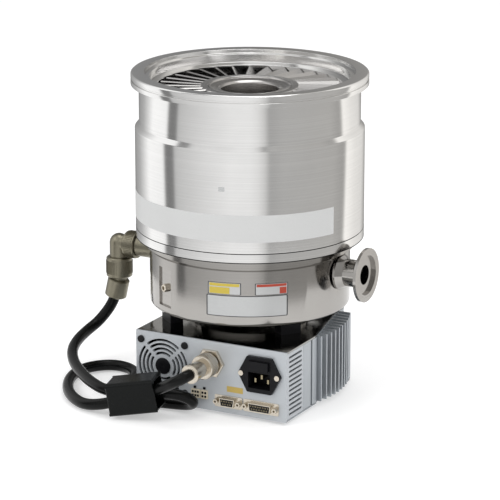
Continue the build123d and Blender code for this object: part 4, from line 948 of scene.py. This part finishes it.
@dataclass
class Connectors:
    """Contacts, grips and inserts of the connectors."""

    grip_ribs: int = 48
    contact_pitch: float = 0.00277
    row_offset: float = 0.00142
    insert_slant: float = 0.0011

    def build(self) -> None:
        """Make every connector detail."""
        self._grips()
        for node, columns in (("dsub_9", 5), ("dsub_15", 8)):
            self._dsub(node, columns)
        self._headers()
        self._sticker()

    def _grips(self) -> None:
        """Cut the grips of the two coupling rings and the back shell."""
        rings = (
            ("plug_ring_grip", "plug_coupling_ring", Body.PLUG_RING, (0, -1, 0), 0.012, "nickel", NICKEL),
            ("elbow_ring_grip", "elbow_coupling_ring", Body.ELBOW_RING, (-1, 0, 0), 0.014, "bronze_plate",
             BRONZE),
            ("back_shell_grip", "elbow_backshell", Body.PUMP, (0, 0, -1), 0.0136, "bronze_plate", BRONZE),
        )
        for name, node, body, axis, radius, slot, finish in rings:
            low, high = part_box(node)
            size = high - low
            length = abs(size.dot(Vector(axis)))
            rib = block("rib", (-0.0005, -0.0005, -length * 0.32), (0.0005, 0.0005, length * 0.32), 0.0002)
            grip = REPEAT.make(name, "ring", rib, finish, self.grip_ribs, radius, facing(centre(node), axis))
            finish_piece(grip, body, finish)

    def _dsub(self, node: str, columns: int) -> None:
        """Make the black insert and its contacts for one D-sub socket.

        Args:
            node: CAD node of the socket.
            columns: Contacts in the longer row.
        """
        low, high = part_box(node)
        middle = (low + high) / 2
        pitch = self.contact_pitch
        rim = [(0.00042, -0.0001), (0.0008, -0.0001), (0.0008, 0.0002), (0.00042, 0.0002)]
        for row, count in ((0, columns), (1, columns - 1)):
            height = middle.z + (self.row_offset if row == 0 else -self.row_offset)
            ring = lathe("ring", rounded(rim, 0.00005, 1), 16)
            place = Matrix.Translation((middle.x, low.y, height)) @ FACING_FRONT
            name = f"{node}_contacts_{row + 1}"
            # The contact rings take the darkened pin metal, whose colour holds painted shade.
            contacts = REPEAT.make(name, "grid", ring, SHADED_PIN_METAL, count, pitch * (count - 1), place)
            finish_piece(contacts, Body.PUMP, SHADED_PIN_METAL)
        half_w, half_h = columns * pitch / 2 + 0.0006, 0.0034
        bm = bmesh.new()
        foot = half_w - self.insert_slant
        corners = ((-half_w, half_h), (half_w, half_h), (foot, -half_h), (-foot, -half_h))
        front = [bm.verts.new((middle.x + x, low.y - 0.00012, middle.z + z)) for x, z in corners]
        back = [bm.verts.new((middle.x + x, low.y + 0.0006, middle.z + z)) for x, z in corners]
        bm.faces.new(front)
        bm.faces.new(back[::-1])
        for i in range(4):
            bm.faces.new((front[i], back[i], back[(i + 1) % 4], front[(i + 1) % 4]))
        bmesh.ops.bevel(bm, geom=bm.edges[:], offset=0.0001, segments=1, affect="EDGES")
        finish_piece(from_bmesh(node + "_insert", bm), Body.PUMP, PLASTIC)

    def _headers(self) -> None:
        """Put flat black tiles on the faces of the two power headers, painted shade that stands in for the
        depth of their holes.
        """
        for node, columns in (("header_6", 3), ("header_4", 2)):
            low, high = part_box(node)
            middle = (low + high) / 2
            width, height = high.x - low.x, high.z - low.z
            # Each tile is a black square laid on the header face: painted shade of one hole, not a cut.
            cavity = block("cavity", (-0.0011, -0.0011, -0.0001), (0.0011, 0.0011, 0.0001), 0.00008)
            place = Matrix.Translation((middle.x, low.y, middle.z)) @ FACING_FRONT
            hole_shades = REPEAT.make(node + "_cavities", "grid", cavity, PLASTIC, columns,
                                   (width - 0.001) * (columns - 1) / columns, place, 2, height / 2 - 0.0005)
            finish_piece(hole_shades, Body.PUMP, PLASTIC)

    def _sticker(self) -> None:
        """Stick the plain gold film on the panel."""
        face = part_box("front_panel")[0].y
        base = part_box("front_panel")[0].z
        film = block("panel_film", (0.034, face - 0.0002, base + 0.0225),
                     (0.052, face - 0.00002, base + 0.0285), 0.00005)
        finish_piece(film, Body.PUMP, GOLD_FILM)


@dataclass
class UnitSheets:
    """The control unit's cover and tray, cut back to the heat sink's line."""

    sheet: float = 0.0012
    sink_line: tuple[Corner, ...] = (
        (0.1, -0.1119), (0.1, -0.0465), (0.0976, -0.043), (0.0807, 0.0365), (0.0807, 0.056),
    )

    def build(self) -> None:
        """Make the cover, the tray and the fan's dark centre."""
        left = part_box("front_panel")[0].x
        outline = [(left, self.sink_line[0][1]), *self.sink_line, (left, self.sink_line[-1][1])]
        low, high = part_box("top_cover")
        cover = plate_from_outline("unit_cover", outline, low.z, high.z)
        finish_piece(cover, Body.PUMP, SHEET)
        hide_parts("top_cover")
        self._tray(outline)
        self._fan_centre()

    def _tray(self, outline: Sequence[Corner]) -> None:
        """Make the tray's floor and its two walls.

        Args:
            outline: The floor's corners.
        """
        low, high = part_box("chassis_tray")
        back, wall = high.y, 0.0008
        end = self.sink_line[-1][0] - 0.003
        walls = [(low.x, low.y), (low.x + wall, low.y), (low.x + wall, back - wall), (end, back - wall),
                 (end, back), (low.x, back)]
        floor = plate_from_outline("unit_tray", outline, low.z, low.z + self.sheet)
        finish_piece(floor, Body.PUMP, PANEL)
        sides = plate_from_outline("unit_walls", walls, low.z + self.sheet, high.z, 0.0002)
        finish_piece(sides, Body.PUMP, PANEL)
        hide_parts("chassis_tray")

    def _fan_centre(self) -> None:
        """Put the dark disc on the middle of the fan guard."""
        middle = centre("fan_frame")
        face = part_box("front_panel")[0].y
        outline = rounded([(0, 0), (0.0085, 0), (0.0085, 0.0006), (0, 0.0006)], 0.0002, 2)
        disc = lathe("fan_centre_disc", outline, 64, facing((middle.x, face - 0.00002, middle.z), (0, -1, 0)))
        finish_piece(disc, Body.PUMP, PLASTIC)


@dataclass
class Rotor:
    """Blades with their slant turned round, and the turned lining of the hub.

    Attributes:
        screw_ring: Radius of the ring of screws on the hub's web.
        bore: Outside of the lining.
        lining: Inside of the lining.
        step: Radius of the step in its rim.
    """

    screw_ring: float = 0.0225
    bore: float = 0.0415
    lining: float = 0.029
    step: float = 0.0335

    def build(self) -> None:
        """Turn the blades' slant round, line the hub and set the screws on its web."""
        for name, node, body in (("rotor_stages", "turbo_rotor", Body.ROTOR),
                                 ("stator_stage_1", "stator_disc_1", Body.PUMP),
                                 ("stator_stage_2", "stator_disc_2", Body.PUMP)):
            bm = bmesh.new()
            bm.from_mesh(frame["nodes"][node].data)
            bm.transform(Matrix.Diagonal((1.0, -1.0, 1.0, 1.0)))
            piece = finish_piece(from_bmesh(name, bm), body, ROTOR)
            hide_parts(node)
        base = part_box("rotor_nut")[0].z
        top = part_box("turbo_rotor")[1].z
        outline = [(self.lining, base), (self.bore, base), (self.bore, top - 0.0005),
                   (self.bore - 0.0008, top), (self.bore - 0.0015, top - 0.0015),
                   (self.step, top - 0.0035), (self.step - 0.002, top - 0.0022),
                   (self.lining, top - 0.0045)]
        lining = lathe("hub_lining", rounded(outline, 0.0003, 2), 192)
        finish_piece(lining, Body.ROTOR, HUB_ALLOY)
        head = lathe("head", rounded([(0, 0), (0.0035, 0), (0.0035, 0.003), (0, 0.003)], 0.0005, 2), 24)
        screws = REPEAT.make("hub_screws", "ring", head, GROUND, 8, self.screw_ring,
                             Matrix.Translation((0, 0, base)))
        finish_piece(screws, Body.ROTOR, GROUND)


def main() -> None:
    """Build the classes in order."""
    studio = Studio()
    studio.build()
    MotorLead().build()
    Frame().dress()
    Casing().build()
    UnitSheets().build()
    Connectors().build()
    Rotor().build()


if __name__ == "__main__":
    main()
